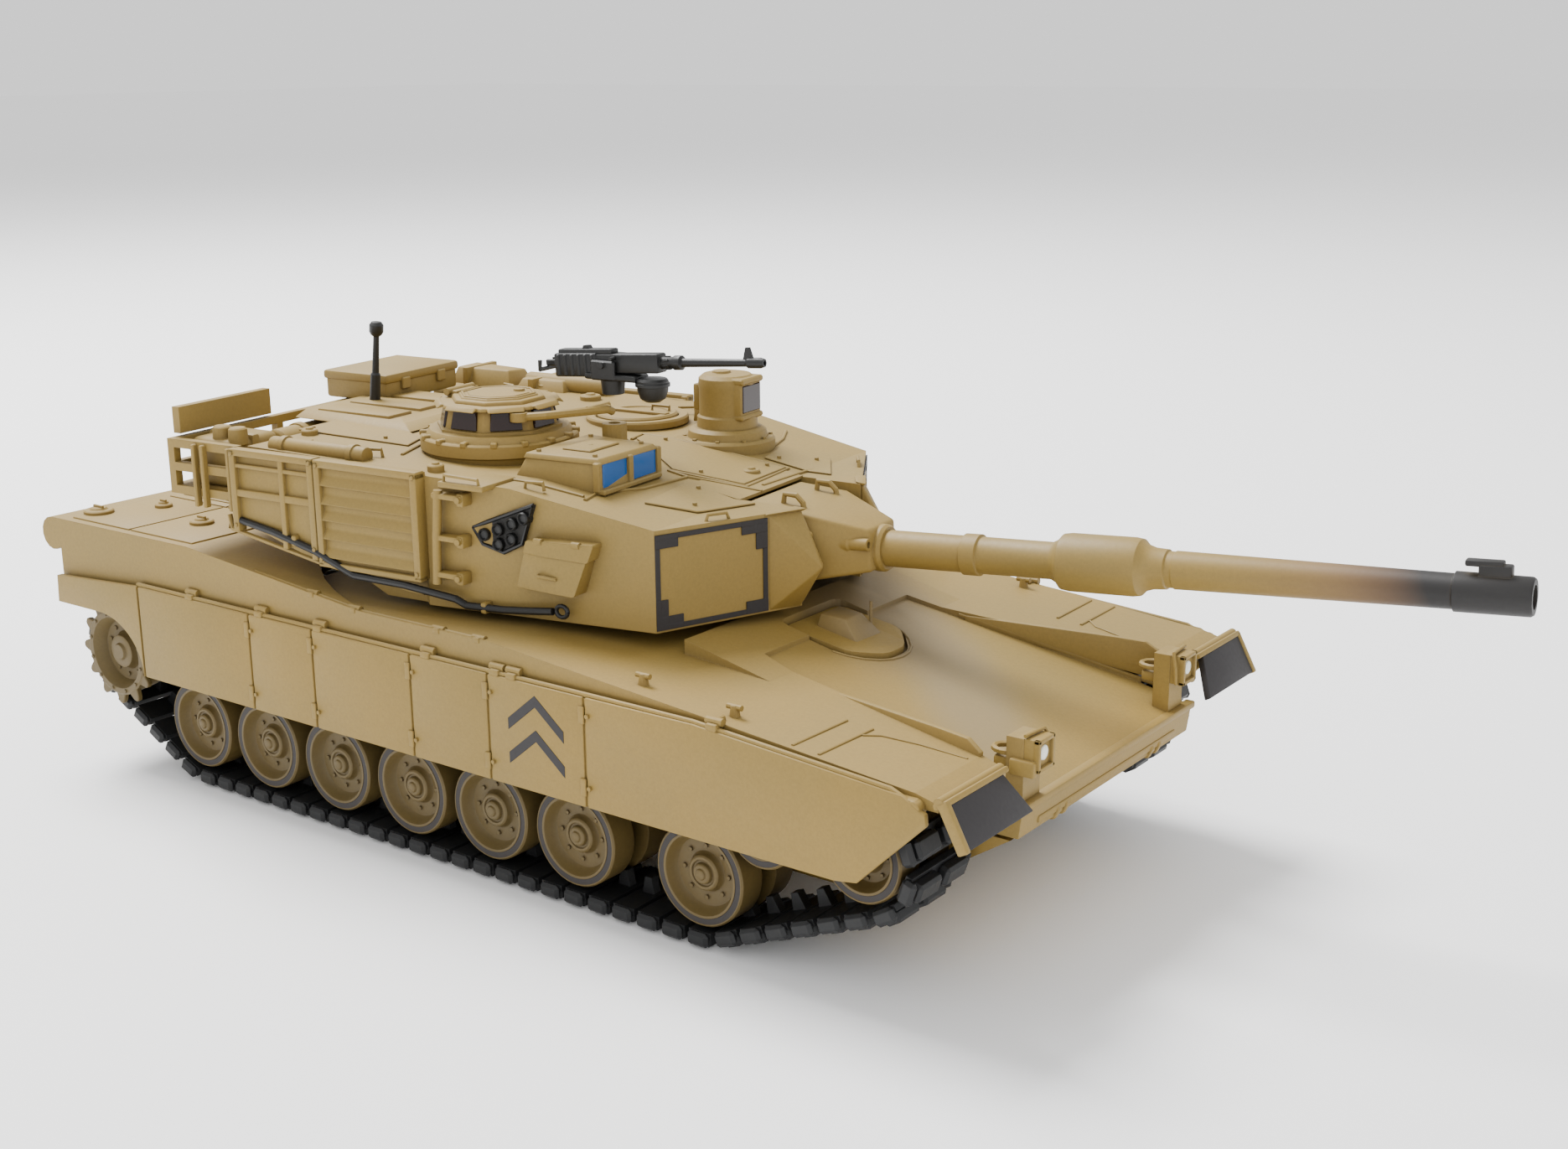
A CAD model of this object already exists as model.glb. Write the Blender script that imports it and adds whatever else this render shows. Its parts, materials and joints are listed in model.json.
"""Looks of a radio-controlled battle tank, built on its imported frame.

Sizes are in millimetres. The hull's own frame has X forward from the hull's rear face, Y to the
tank's left and Z up from the ground. The turret's, the gun's and the machine gun's own frames turn
with their bodies. Every finished mesh is written in metres in the frame's own axes.
"""
import json
import logging
import math
from dataclasses import dataclass, field
from enum import Enum
from typing import Iterable, Sequence

import bmesh
import bpy
from mathutils import Matrix, Vector


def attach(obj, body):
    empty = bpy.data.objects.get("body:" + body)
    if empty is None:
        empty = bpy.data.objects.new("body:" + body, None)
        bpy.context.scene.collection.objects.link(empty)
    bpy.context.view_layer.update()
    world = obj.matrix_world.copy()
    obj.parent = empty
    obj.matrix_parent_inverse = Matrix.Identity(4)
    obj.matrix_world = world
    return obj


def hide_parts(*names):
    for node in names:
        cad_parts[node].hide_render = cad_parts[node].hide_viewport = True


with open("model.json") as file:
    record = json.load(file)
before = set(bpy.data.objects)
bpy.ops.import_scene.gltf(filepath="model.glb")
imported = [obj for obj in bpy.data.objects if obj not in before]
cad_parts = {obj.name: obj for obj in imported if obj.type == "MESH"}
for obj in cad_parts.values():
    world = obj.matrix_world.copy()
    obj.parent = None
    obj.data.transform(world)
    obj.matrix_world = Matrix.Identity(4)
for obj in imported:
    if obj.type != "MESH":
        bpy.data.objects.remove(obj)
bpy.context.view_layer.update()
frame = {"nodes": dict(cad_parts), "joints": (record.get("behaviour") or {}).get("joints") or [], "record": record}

LOG = logging.getLogger("tank")
MM = 0.001
TURRET_X = 48.0
GUN_ELEVATION = math.radians(3.0)
ROOF = ((29.2, 31.9), (21.8, 32.0), (8.0, 34.4), (-2.0, 34.9), (-23.0, 35.3), (-40.0, 35.3))

Point = Sequence[float]


class Axis(Enum):
    """The axis that a shape is turned, extruded or cut along."""

    X = 0
    Y = 1
    Z = 2

    @property
    def way(self) -> Vector:
        """The axis as a unit vector."""
        return Vector([1.0 if index == self.value else 0.0 for index in range(3)])


class Side(Enum):
    """A side of the tank."""

    LEFT = 1
    RIGHT = -1

    @property
    def label(self) -> str:
        """The side's name in node and piece names."""
        return self.name.lower()


class Spot(Enum):
    """The frame that a shape's millimetres are read in."""

    HULL = "hull"
    TURRET = "turret"
    GUN = "gun"
    MACHINE_GUN = "machine_gun_mount"


# ---------------------------------------------------------------------------------------- finishes


def linear(code: str) -> tuple[float, float, float, float]:
    """Turn an sRGB hex colour into linear light.

    Args:
        code: six hex digits after a hash sign.

    Returns:
        Red, green, blue and an alpha of one.
    """
    values = [int(code[index:index + 2], 16) / 255.0 for index in (1, 3, 5)]
    red, green, blue = [v / 12.92 if v <= 0.04045 else ((v + 0.055) / 1.055) ** 2.4 for v in values]
    return red, green, blue, 1.0


def add_node(tree: bpy.types.NodeTree, kind: str, settings: dict | None = None,
             links: dict | None = None) -> bpy.types.Node:
    """Add one shader node.

    Args:
        tree: the material's node tree.
        kind: the node's type name.
        settings: values by input name, input number or attribute name.
        links: output sockets by input name or number.

    Returns:
        The new node.
    """
    made = tree.nodes.new(kind)
    for key, value in (settings or {}).items():
        if isinstance(key, int) or key in made.inputs:
            made.inputs[key].default_value = value
        else:
            setattr(made, key, value)
    for key, socket in (links or {}).items():
        tree.links.new(socket, made.inputs[key])
    return made


def mix_colours(tree: bpy.types.NodeTree, share: bpy.types.NodeSocket | float,
                first: object, second: object, blend: str = "MIX") -> bpy.types.NodeSocket:
    """Mix two colours, each a socket or a linear colour.

    Args:
        tree: the material's node tree.
        share: how much of the second colour, as a socket or a number.
        first: the colour at share 0.
        second: the colour at share 1.
        blend: the mixing rule.

    Returns:
        The mixed colour's socket.
    """
    made = add_node(tree, "ShaderNodeMix", {"data_type": "RGBA", "blend_type": blend})
    for index, value in ((0, share), (6, first), (7, second)):
        if isinstance(value, bpy.types.NodeSocket):
            tree.links.new(value, made.inputs[index])
        else:
            made.inputs[index].default_value = value
    return made.outputs[2]


@dataclass(frozen=True)
class Finish:
    """A plain moulded or turned surface: one colour, a fine grain and softened edges."""

    name: str
    slot: str
    colour: str
    roughness: float = 0.5
    metallic: float = 0.0
    ior: float = 1.46
    grain_mm: float = 0.35
    grain_depth_mm: float = 0.006
    mottle: float = 0.10
    edge_mm: float = 0.10

    def material(self) -> bpy.types.Material:
        """Build the material, or hand back the one already built.

        Returns:
            The material.
        """
        known = bpy.data.materials.get(self.name)
        if known is not None:
            return known
        made = bpy.data.materials.new(self.name)
        made.use_nodes = True
        tree = made.node_tree
        shader = tree.nodes["Principled BSDF"]
        shader.inputs["Metallic"].default_value = self.metallic
        if self.metallic < 0.5:
            shader.inputs["IOR"].default_value = self.ior
        place = add_node(tree, "ShaderNodeTexCoord").outputs["Object"]
        self.dress(tree, shader, place)
        made.diffuse_color = linear(self.colour)
        return made

    def dress(self, tree: bpy.types.NodeTree, shader: bpy.types.Node,
              place: bpy.types.NodeSocket) -> None:
        """Give the shader its colour, roughness and relief.

        Args:
            tree: the material's node tree.
            shader: the Principled BSDF.
            place: object coordinates in metres.
        """
        base = linear(self.colour)
        cloud = add_node(tree, "ShaderNodeTexNoise",
                         {"Scale": 1.0 / (9.0 * MM), "Detail": 3.0}, {"Vector": place})
        darker = tuple(v * (1.0 - self.mottle) for v in base[:3]) + (1.0,)
        paler = tuple(min(1.0, v * (1.0 + self.mottle)) for v in base[:3]) + (1.0,)
        colour = mix_colours(tree, cloud.outputs["Fac"], darker, paler)
        self.finish_surface(tree, shader, place, colour)

    def finish_surface(self, tree: bpy.types.NodeTree, shader: bpy.types.Node,
                       place: bpy.types.NodeSocket, colour: bpy.types.NodeSocket) -> None:
        """Link the colour, a slightly uneven roughness and the moulded grain.

        Args:
            tree: the material's node tree.
            shader: the Principled BSDF.
            place: object coordinates in metres.
            colour: the finished colour.
        """
        tree.links.new(colour, shader.inputs["Base Color"])
        grain = add_node(tree, "ShaderNodeTexNoise",
                         {"Scale": 1.0 / (self.grain_mm * MM), "Detail": 4.0}, {"Vector": place})
        sheen = add_node(tree, "ShaderNodeMapRange",
                         {"To Min": self.roughness - 0.06, "To Max": self.roughness + 0.06},
                         {"Value": grain.outputs["Fac"]})
        tree.links.new(sheen.outputs["Result"], shader.inputs["Roughness"])
        soft = add_node(tree, "ShaderNodeBevel", {"samples": 4, "Radius": self.edge_mm * MM})
        bump = add_node(tree, "ShaderNodeBump",
                        {"Strength": 0.7, "Distance": self.grain_depth_mm * MM},
                        {"Height": grain.outputs["Fac"], "Normal": soft.outputs["Normal"]})
        tree.links.new(bump.outputs["Normal"], shader.inputs["Normal"])


@dataclass(frozen=True)
class Shade:
    """A soft airbrushed patch: where it lies, how far it reaches and what it leaves behind."""

    centre_mm: tuple[float, float, float]
    reach_mm: tuple[float, float, float]
    turn_deg: float
    colour: str
    strength: float


@dataclass(frozen=True)
class SandPaint(Finish):
    """Desert sand enamel sprayed matt over moulded ABS.

    The eye sees a flat tan with slow cloudy changes, a fine dusty grain, darker paint settled in
    the corners and, where shades are given, soft airbrushed patches.
    """

    wash: str = "#5c4c2c"
    wash_reach_mm: float = 1.5
    wash_strength: float = 0.55
    shades: tuple[Shade, ...] = ()

    def dress(self, tree: bpy.types.NodeTree, shader: bpy.types.Node,
              place: bpy.types.NodeSocket) -> None:
        """Layer the paint: cloudy base, dusty speckle, airbrushed shades and wash in the corners.

        Args:
            tree: the material's node tree.
            shader: the Principled BSDF.
            place: object coordinates in metres.
        """
        base = linear(self.colour)
        warm = (base[0] * 1.06, base[1] * 1.03, base[2] * 0.94, 1.0)
        cool = (base[0] * 0.93, base[1] * 0.95, base[2] * 1.00, 1.0)
        cloud = add_node(tree, "ShaderNodeTexNoise",
                         {"Scale": 1.0 / (22.0 * MM), "Detail": 4.0, "Roughness": 0.55},
                         {"Vector": place})
        spread = add_node(tree, "ShaderNodeMapRange", {"From Min": 0.35, "From Max": 0.65},
                          {"Value": cloud.outputs["Fac"]})
        colour = mix_colours(tree, spread.outputs["Result"], cool, warm)
        # Dust and pigment grain is a few hundredths of a millimetre; drawn at 0.3 mm so it shows.
        dust = add_node(tree, "ShaderNodeTexNoise",
                        {"Scale": 1.0 / (0.3 * MM), "Detail": 5.0, "Roughness": 0.7},
                        {"Vector": place})
        speck = add_node(tree, "ShaderNodeMapRange",
                         {"From Min": 0.3, "From Max": 0.7, "To Min": 0.91, "To Max": 1.07},
                         {"Value": dust.outputs["Fac"]})
        colour = mix_colours(tree, 1.0, colour, speck.outputs["Result"], "MULTIPLY")
        for shade in self.shades:
            colour = self.airbrush(tree, place, colour, shade)
        corner = add_node(tree, "ShaderNodeAmbientOcclusion",
                          {"samples": 6, "Distance": self.wash_reach_mm * MM})
        settled = add_node(tree, "ShaderNodeMapRange",
                           {"From Min": 0.25, "From Max": 0.85, "To Min": self.wash_strength,
                            "To Max": 0.0}, {"Value": corner.outputs["AO"]})
        colour = mix_colours(tree, settled.outputs["Result"], colour, linear(self.wash))
        self.finish_surface(tree, shader, place, colour)

    def airbrush(self, tree: bpy.types.NodeTree, place: bpy.types.NodeSocket,
                 colour: bpy.types.NodeSocket, shade: Shade) -> bpy.types.NodeSocket:
        """Lay one soft patch over the colour.

        Args:
            tree: the material's node tree.
            place: object coordinates in metres.
            colour: the colour below.
            shade: the patch.

        Returns:
            The colour with the patch on it.
        """
        moved = add_node(tree, "ShaderNodeMapping",
                         {"vector_type": "TEXTURE",
                          "Location": tuple(v * MM for v in shade.centre_mm),
                          "Rotation": (0.0, 0.0, math.radians(shade.turn_deg)),
                          "Scale": tuple(v * MM for v in shade.reach_mm)}, {"Vector": place})
        ball = add_node(tree, "ShaderNodeTexGradient", {"gradient_type": "SPHERICAL"},
                        {"Vector": moved.outputs["Vector"]})
        puff = add_node(tree, "ShaderNodeTexNoise", {"Scale": 1.0 / (14.0 * MM), "Detail": 2.0},
                        {"Vector": place})
        uneven = add_node(tree, "ShaderNodeMapRange", {"To Min": 0.65, "To Max": 1.35},
                          {"Value": puff.outputs["Fac"]})
        soft = add_node(tree, "ShaderNodeMapRange",
                        {"interpolation_type": "SMOOTHSTEP", "From Max": 0.75,
                         "To Max": shade.strength}, {"Value": ball.outputs["Fac"]})
        share = add_node(tree, "ShaderNodeMath", {"operation": "MULTIPLY", "use_clamp": True},
                         {0: soft.outputs["Result"], 1: uneven.outputs["Result"]})
        return mix_colours(tree, share.outputs["Value"], colour, linear(shade.colour))


def hull_x(value: float) -> float:
    """Turn a place along the hull into the frame's own X, in millimetres."""
    return value - TURRET_X + YARD_SHIFT


YARD_SHIFT = next(j for j in frame["joints"] if j["name"] == "turret_yaw")["pos_m"][0] / MM

SAND_HEX = "#8a7237"
SAND = SandPaint("matt_sand_enamel_on_abs", "sand_paint", SAND_HEX, roughness=0.60)
HULL_SAND = SandPaint(
    "matt_sand_enamel_airbrushed", "sand_paint", SAND_HEX, roughness=0.60, shades=(
        Shade((hull_x(78.0), 6.0, 21.5), (20.0, 11.0, 12.0), -35.0, "#6f6148", 0.75),
        Shade((hull_x(94.0), -2.5, 19.0), (22.0, 6.5, 12.0), -45.0, "#83765c", 0.55),
        Shade((hull_x(48.0), 0.0, 23.0), (33.0, 30.0, 6.0), 0.0, "#4a3f2a", 0.65)))
BARREL_SAND = SandPaint(
    "matt_sand_enamel_sooted_muzzle", "sand_paint", SAND_HEX, roughness=0.55, shades=(
        Shade((68.0, 10.0, 31.0), (26.0, 12.0, 12.0), 6.1, "#6a4a3c", 0.75),
        Shade((73.0, 10.5, 31.5), (21.0, 12.0, 12.0), 6.1, "#191716", 1.6)))
WHEEL_SAND = SandPaint("matt_sand_enamel_on_wheels", "sand_paint", "#5f4f29", roughness=0.55,
                       wash="#43361d", wash_strength=0.75, wash_reach_mm=1.8)
PANEL_GREY = Finish("purple_grey_enamel", "dark_plastic", "#252223", roughness=0.62, mottle=0.08)
GUN_BLACK = Finish("charcoal_pvc_moulded", "dark_plastic", "#151514", roughness=0.45,
                   mottle=0.12, edge_mm=0.08)
TRACK_BLACK = Finish("black_pvc_track", "black_rubber", "#121314", roughness=0.55, mottle=0.25,
                     grain_mm=0.5, grain_depth_mm=0.02)
TYRE_GREY = Finish("tyre_grey_enamel", "dark_plastic", "#2b2624", roughness=0.6)
UNDERSIDE = Finish("shadow_black_abs", "dark_plastic", "#1d1b18", roughness=0.7)
PANE_BLUE = Finish("blue_gloss_enamel", "dark_plastic", "#0d579c", roughness=0.16, mottle=0.05,
                   grain_mm=1.2, grain_depth_mm=0.002, edge_mm=0.03)
PANE_MAROON = Finish("maroon_gloss_enamel", "dark_plastic", "#22100b", roughness=0.16, mottle=0.1,
                     grain_mm=1.2, grain_depth_mm=0.002, edge_mm=0.03)
LENS_WHITE = Finish("white_gloss_enamel", "gear_nylon", "#e6e8d8", roughness=0.2, mottle=0.02)
LENS_RED = Finish("red_gloss_enamel", "dark_plastic", "#7a1712", roughness=0.2, mottle=0.05)
NYLON = Finish("moulded_white_nylon", "gear_nylon", "#e4e3dc", roughness=0.42, ior=1.53)
STEEL = Finish("zinc_plated_steel", "motor_steel", "#b9bbbd", roughness=0.32, metallic=1.0,
               mottle=0.06)
BRASS = Finish("turned_brass", "pinion_brass", "#c7a45a", roughness=0.3, metallic=1.0, mottle=0.06)
BOARD = Finish("green_solder_mask", "board_green", "#1f5a33", roughness=0.3, mottle=0.12)
WRAP = Finish("blue_shrink_wrap", "battery_wrap", "#274a9a", roughness=0.28, mottle=0.05)

NODE_FINISHES: dict[str, Finish] = {
    "hull_upper": HULL_SAND, "black_rubber": TRACK_BLACK, "dark_plastic": GUN_BLACK,
    "motor_steel": STEEL, "pinion_brass": BRASS, "gear_nylon": NYLON, "board_green": BOARD,
    "battery_wrap": WRAP, "sand_paint": SAND}


# ------------------------------------------------------------------------------------------ shapes


class Shape:
    """A mesh being modelled in millimetres, with the operators that shape it."""

    def __init__(self) -> None:
        """Start empty."""
        self.mesh = bmesh.new()

    @classmethod
    def box(cls, low: Point, high: Point) -> "Shape":
        """A box between two corners.

        Args:
            low: the lowest corner.
            high: the highest corner.

        Returns:
            The shape.
        """
        shape = cls()
        bmesh.ops.create_cube(shape.mesh, size=1.0)
        size = Vector(high) - Vector(low)
        bmesh.ops.scale(shape.mesh, vec=size, verts=shape.mesh.verts)
        return shape.move((Vector(high) + Vector(low)) / 2)

    @classmethod
    def disc(cls, radius: float, low: float, high: float, axis: Axis = Axis.Z,
             segments: int = 20, top: float | None = None) -> "Shape":
        """A round bar or cone along an axis.

        Args:
            radius: the radius at the low end.
            low: where it starts along the axis.
            high: where it ends.
            axis: the axis.
            segments: the number of sides.
            top: the radius at the high end, if it differs.

        Returns:
            The shape.
        """
        shape = cls()
        bmesh.ops.create_cone(shape.mesh, cap_ends=True, cap_tris=False, segments=segments,
                              radius1=radius, radius2=radius if top is None else top,
                              depth=high - low)
        shape.move((0, 0, (low + high) / 2))
        return shape.stand(axis)

    @classmethod
    def turned(cls, profile: Sequence[Point], segments: int = 32, axis: Axis = Axis.Z) -> "Shape":
        """A profile of (along, radius) points spun about an axis.

        Args:
            profile: the points; the first and last may lie on the axis.
            segments: the number of steps round.
            axis: the axis.

        Returns:
            The shape.
        """
        shape = cls()
        bm = shape.mesh
        verts = [bm.verts.new((radius, 0, along)) for along, radius in profile]
        closed = zip(verts, verts[1:] + verts[:1])
        edges = [bm.edges.new(pair) for pair in closed
                 if not (pair[0].co.x < 1e-6 and pair[1].co.x < 1e-6)]
        bmesh.ops.spin(bm, geom=verts + edges, cent=(0, 0, 0), axis=(0, 0, 1), dvec=(0, 0, 0),
                       angle=2 * math.pi, steps=segments, use_merge=True, use_duplicate=False)
        bmesh.ops.remove_doubles(bm, verts=bm.verts, dist=1e-4)
        bmesh.ops.recalc_face_normals(bm, faces=bm.faces)
        return shape.stand(axis)

    @classmethod
    def plate(cls, outline: Sequence[Point], low: float, high: float,
              across: Axis = Axis.Y) -> "Shape":
        """A flat outline, extruded.

        Args:
            outline: points in XZ where across is Y, in XY where it is Z, in YZ where it is X.
            low: where the plate starts along the axis across it.
            high: where it ends.
            across: the axis across the plate.

        Returns:
            The shape.
        """
        shape = cls()
        bm = shape.mesh
        if across is Axis.Y:
            verts = [bm.verts.new((u, low, v)) for u, v in outline]
        elif across is Axis.Z:
            verts = [bm.verts.new((u, v, low)) for u, v in outline]
        else:
            verts = [bm.verts.new((low, u, v)) for u, v in outline]
        face = bm.faces.new(verts)
        grown = bmesh.ops.extrude_face_region(bm, geom=[face])
        moved = [item for item in grown["geom"] if isinstance(item, bmesh.types.BMVert)]
        bmesh.ops.translate(bm, vec=across.way * (high - low), verts=moved)
        bmesh.ops.recalc_face_normals(bm, faces=bm.faces)
        return shape

    @classmethod
    def rod(cls, points: Sequence[Point], radius: float, sides: int = 8) -> "Shape":
        """A round rod along a line of points, with closed ends.

        Args:
            points: the line.
            radius: the rod's radius.
            sides: the number of sides.

        Returns:
            The shape.
        """
        shape = cls()
        bm = shape.mesh
        line = [Vector(point) for point in points]
        rings: list[list[bmesh.types.BMEdge]] = []
        for index, here in enumerate(line):
            ahead = line[min(index + 1, len(line) - 1)] - line[max(index - 1, 0)]
            turn = ahead.to_track_quat("Z", "Y").to_matrix().to_4x4()
            ends = index in (0, len(line) - 1)
            made = bmesh.ops.create_circle(bm, cap_ends=ends, cap_tris=False, segments=sides,
                                           radius=radius, matrix=Matrix.Translation(here) @ turn)
            ring = {edge for vert in made["verts"] for edge in vert.link_edges}
            rings.append(list(ring))
        for before, after in zip(rings, rings[1:]):
            bmesh.ops.bridge_loops(bm, edges=before + after)
        bmesh.ops.recalc_face_normals(bm, faces=bm.faces)
        return shape

    @classmethod
    def wrapped(cls, points: Iterable[Point]) -> "Shape":
        """The smallest convex solid round some corners."""
        shape = cls()
        for point in points:
            shape.mesh.verts.new(point)
        bmesh.ops.convex_hull(shape.mesh, input=shape.mesh.verts)
        bmesh.ops.recalc_face_normals(shape.mesh, faces=shape.mesh.faces)
        return shape

    def stand(self, axis: Axis) -> "Shape":
        """Turn a shape that was made along Z to lie along an axis."""
        turns = {Axis.X: ("Y", math.pi / 2), Axis.Y: ("X", -math.pi / 2)}
        if axis in turns:
            name, angle = turns[axis]
            bmesh.ops.rotate(self.mesh, verts=self.mesh.verts,
                             matrix=Matrix.Rotation(angle, 3, name))
        return self

    def move(self, way: Point) -> "Shape":
        """Move the shape."""
        bmesh.ops.translate(self.mesh, vec=way, verts=self.mesh.verts)
        return self

    def turn(self, degrees: float, axis: Axis, centre: Point = (0, 0, 0)) -> "Shape":
        """Turn the shape about an axis through a centre."""
        bmesh.ops.rotate(self.mesh, verts=self.mesh.verts, cent=centre,
                         matrix=Matrix.Rotation(math.radians(degrees), 3, axis.name))
        return self

    def stretch(self, size: Point) -> "Shape":
        """Scale the shape about its frame's origin."""
        bmesh.ops.scale(self.mesh, vec=size, verts=self.mesh.verts)
        return self

    def on(self, side: Side) -> "Shape":
        """Flip a shape drawn for the left side on to another side."""
        if side is Side.RIGHT:
            self.stretch((1, -1, 1))
            bmesh.ops.reverse_faces(self.mesh, faces=self.mesh.faces)
        return self

    def bevel(self, width: float, segments: int = 2, angle: float = 30.0) -> "Shape":
        """Round the edges that are sharper than an angle.

        Args:
            width: the bevel's width.
            segments: the number of steps across it.
            angle: the smallest angle between faces that is rounded, in degrees.

        Returns:
            The shape.
        """
        sharp = [edge for edge in self.mesh.edges if len(edge.link_faces) == 2
                 and edge.calc_face_angle(0.0) > math.radians(angle)]
        bmesh.ops.bevel(self.mesh, geom=sharp, offset=width, offset_type="OFFSET",
                        affect="EDGES", segments=segments, profile=0.5, clamp_overlap=True,
                        material=-1)
        return self

    def between(self, axis: Axis, low: float, high: float) -> "Shape":
        """Keep what lies between two planes across an axis, and close both cuts."""
        for value, sign in ((low, -1.0), (high, 1.0)):
            self.slice(axis.way * value, axis.way * sign)
        return self

    def slice(self, through: Point, away: Point) -> "Shape":
        """Cut off what lies beyond a plane, and close the cut.

        Args:
            through: a point of the plane.
            away: the plane's normal, towards what goes.

        Returns:
            The shape.
        """
        bm = self.mesh
        geom = list(bm.verts) + list(bm.edges) + list(bm.faces)
        cut = bmesh.ops.bisect_plane(bm, geom=geom, dist=1e-5, plane_co=through, plane_no=away,
                                     clear_outer=True)
        edges = [item for item in cut["geom_cut"] if isinstance(item, bmesh.types.BMEdge)]
        if edges:
            bmesh.ops.holes_fill(bm, edges=edges, sides=0)
            bmesh.ops.recalc_face_normals(bm, faces=bm.faces)
        return self

    def crease_at(self, axis: Axis, values: Iterable[float]) -> "Shape":
        """Add edges where planes across an axis meet the shape, so that it can bend there."""
        bm = self.mesh
        for value in values:
            geom = list(bm.verts) + list(bm.edges) + list(bm.faces)
            bmesh.ops.bisect_plane(bm, geom=geom, dist=1e-5, plane_co=axis.way * value,
                                   plane_no=axis.way)
        return self

    def drape(self) -> "Shape":
        """Lift a flat shape on to the turret's roof, which folds at a few places along X."""
        self.crease_at(Axis.X, [x for x, _ in ROOF[1:-1]])
        for vert in self.mesh.verts:
            vert.co.z += roof_height(vert.co.x)
        return self

    def add(self, *others: "Shape") -> "Shape":
        """Take other shapes in as loose parts of this one."""
        for other in others:
            passing = bpy.data.meshes.new("passing")
            other.mesh.to_mesh(passing)
            other.mesh.free()
            self.mesh.from_mesh(passing)
            bpy.data.meshes.remove(passing)
        return self

    def copies(self, places: Iterable[Matrix]) -> "Shape":
        """Repeat this shape at each place and hand back the whole row."""
        single = bpy.data.meshes.new("single")
        self.mesh.to_mesh(single)
        self.mesh.free()
        row = Shape()
        for place in places:
            known = len(row.mesh.verts)
            row.mesh.from_mesh(single)
            row.mesh.verts.ensure_lookup_table()
            fresh = [row.mesh.verts[index] for index in range(known, len(row.mesh.verts))]
            bmesh.ops.transform(row.mesh, matrix=place, verts=fresh)
        bpy.data.meshes.remove(single)
        return row


def roof_height(x: float) -> float:
    """The turret roof's height at a place along the turret, in millimetres."""
    for (x1, z1), (x0, z0) in zip(ROOF, ROOF[1:]):
        if x >= x0:
            return z0 + (z1 - z0) * (x - x0) / (x1 - x0)
    return ROOF[-1][1]


def ring_of(count: int, radius: float, axis: Axis = Axis.Z, start: float = 0.0) -> list[Matrix]:
    """Places evenly spaced on a circle about an axis.

    Args:
        count: how many.
        radius: the circle's radius.
        axis: the axis through the circle's centre.
        start: the first place's angle in degrees.

    Returns:
        One matrix for each place.
    """
    out = Vector((0, 0, radius)) if axis is not Axis.Z else Vector((radius, 0, 0))
    return [Matrix.Rotation(math.radians(start + 360.0 * index / count), 4, axis.name)
            @ Matrix.Translation(out) for index in range(count)]


# ---------------------------------------------------------------------------------------- assembly


@dataclass
class Yard:
    """Where finished shapes go: the frames of the bodies and the pieces made so far."""

    spots: dict[Spot, Matrix] = field(default_factory=dict)
    made: int = 0

    def __post_init__(self) -> None:
        """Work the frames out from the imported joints."""
        joints = {joint["name"]: joint for joint in frame["joints"]}
        ring = Vector(joints["turret_yaw"]["pos_m"])
        trunnion = joints["gun_elevation"]
        across = trunnion["axis"]
        yaw = Matrix.Rotation(math.atan2(across[0], -across[1]), 4, "Z")
        post = Vector(joints["machine_gun_yaw"]["pos_m"])
        scale = Matrix.Scale(MM, 4)
        self.spots = {
            Spot.HULL: Matrix.Translation((ring.x - TURRET_X * MM, 0, 0)) @ scale,
            Spot.TURRET: Matrix.Translation((ring.x, ring.y, 0)) @ yaw @ scale,
            Spot.GUN: Matrix.Translation(trunnion["pos_m"]) @ yaw
            @ Matrix.Rotation(-GUN_ELEVATION, 4, "Y") @ scale,
            Spot.MACHINE_GUN: Matrix.Translation((post.x, post.y, 0)) @ yaw @ scale}

    def fit(self, name: str, shape: Shape, finish: Finish, spot: Spot, body: str | None = None,
            replaces: Sequence[str] = (), smooth: float = 32.0) -> bpy.types.Object:
        """Finish a shape as a piece of the model.

        Args:
            name: the piece's name.
            shape: its shape, which is used up.
            finish: its finish.
            spot: the frame the shape was drawn in.
            body: the body it rides on, if not the spot's own.
            replaces: CAD nodes that it stands for.
            smooth: faces that meet at less than this many degrees shade smoothly.

        Returns:
            The piece's object.
        """
        data = bpy.data.meshes.new(name)
        bmesh.ops.transform(shape.mesh, matrix=self.spots[spot], verts=shape.mesh.verts)
        shape.mesh.to_mesh(data)
        shape.mesh.free()
        data.shade_smooth()
        data.set_sharp_from_angle(angle=math.radians(smooth))
        data.materials.append(finish.material())
        piece = bpy.data.objects.new(name, data)
        bpy.context.scene.collection.objects.link(piece)
        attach(piece, body or spot.value)
        if replaces:
            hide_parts(*replaces)
        self.made += 1
        LOG.info("%s: %d faces", name, len(data.polygons))
        return piece


@dataclass
class Assembly:
    """A sub-assembly that fits its pieces in the yard."""

    yard: Yard

    def build(self) -> None:
        """Make every piece of the sub-assembly."""
        raise NotImplementedError


def sides() -> tuple[Side, Side]:
    """Both sides of the tank."""
    return Side.LEFT, Side.RIGHT


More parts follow.
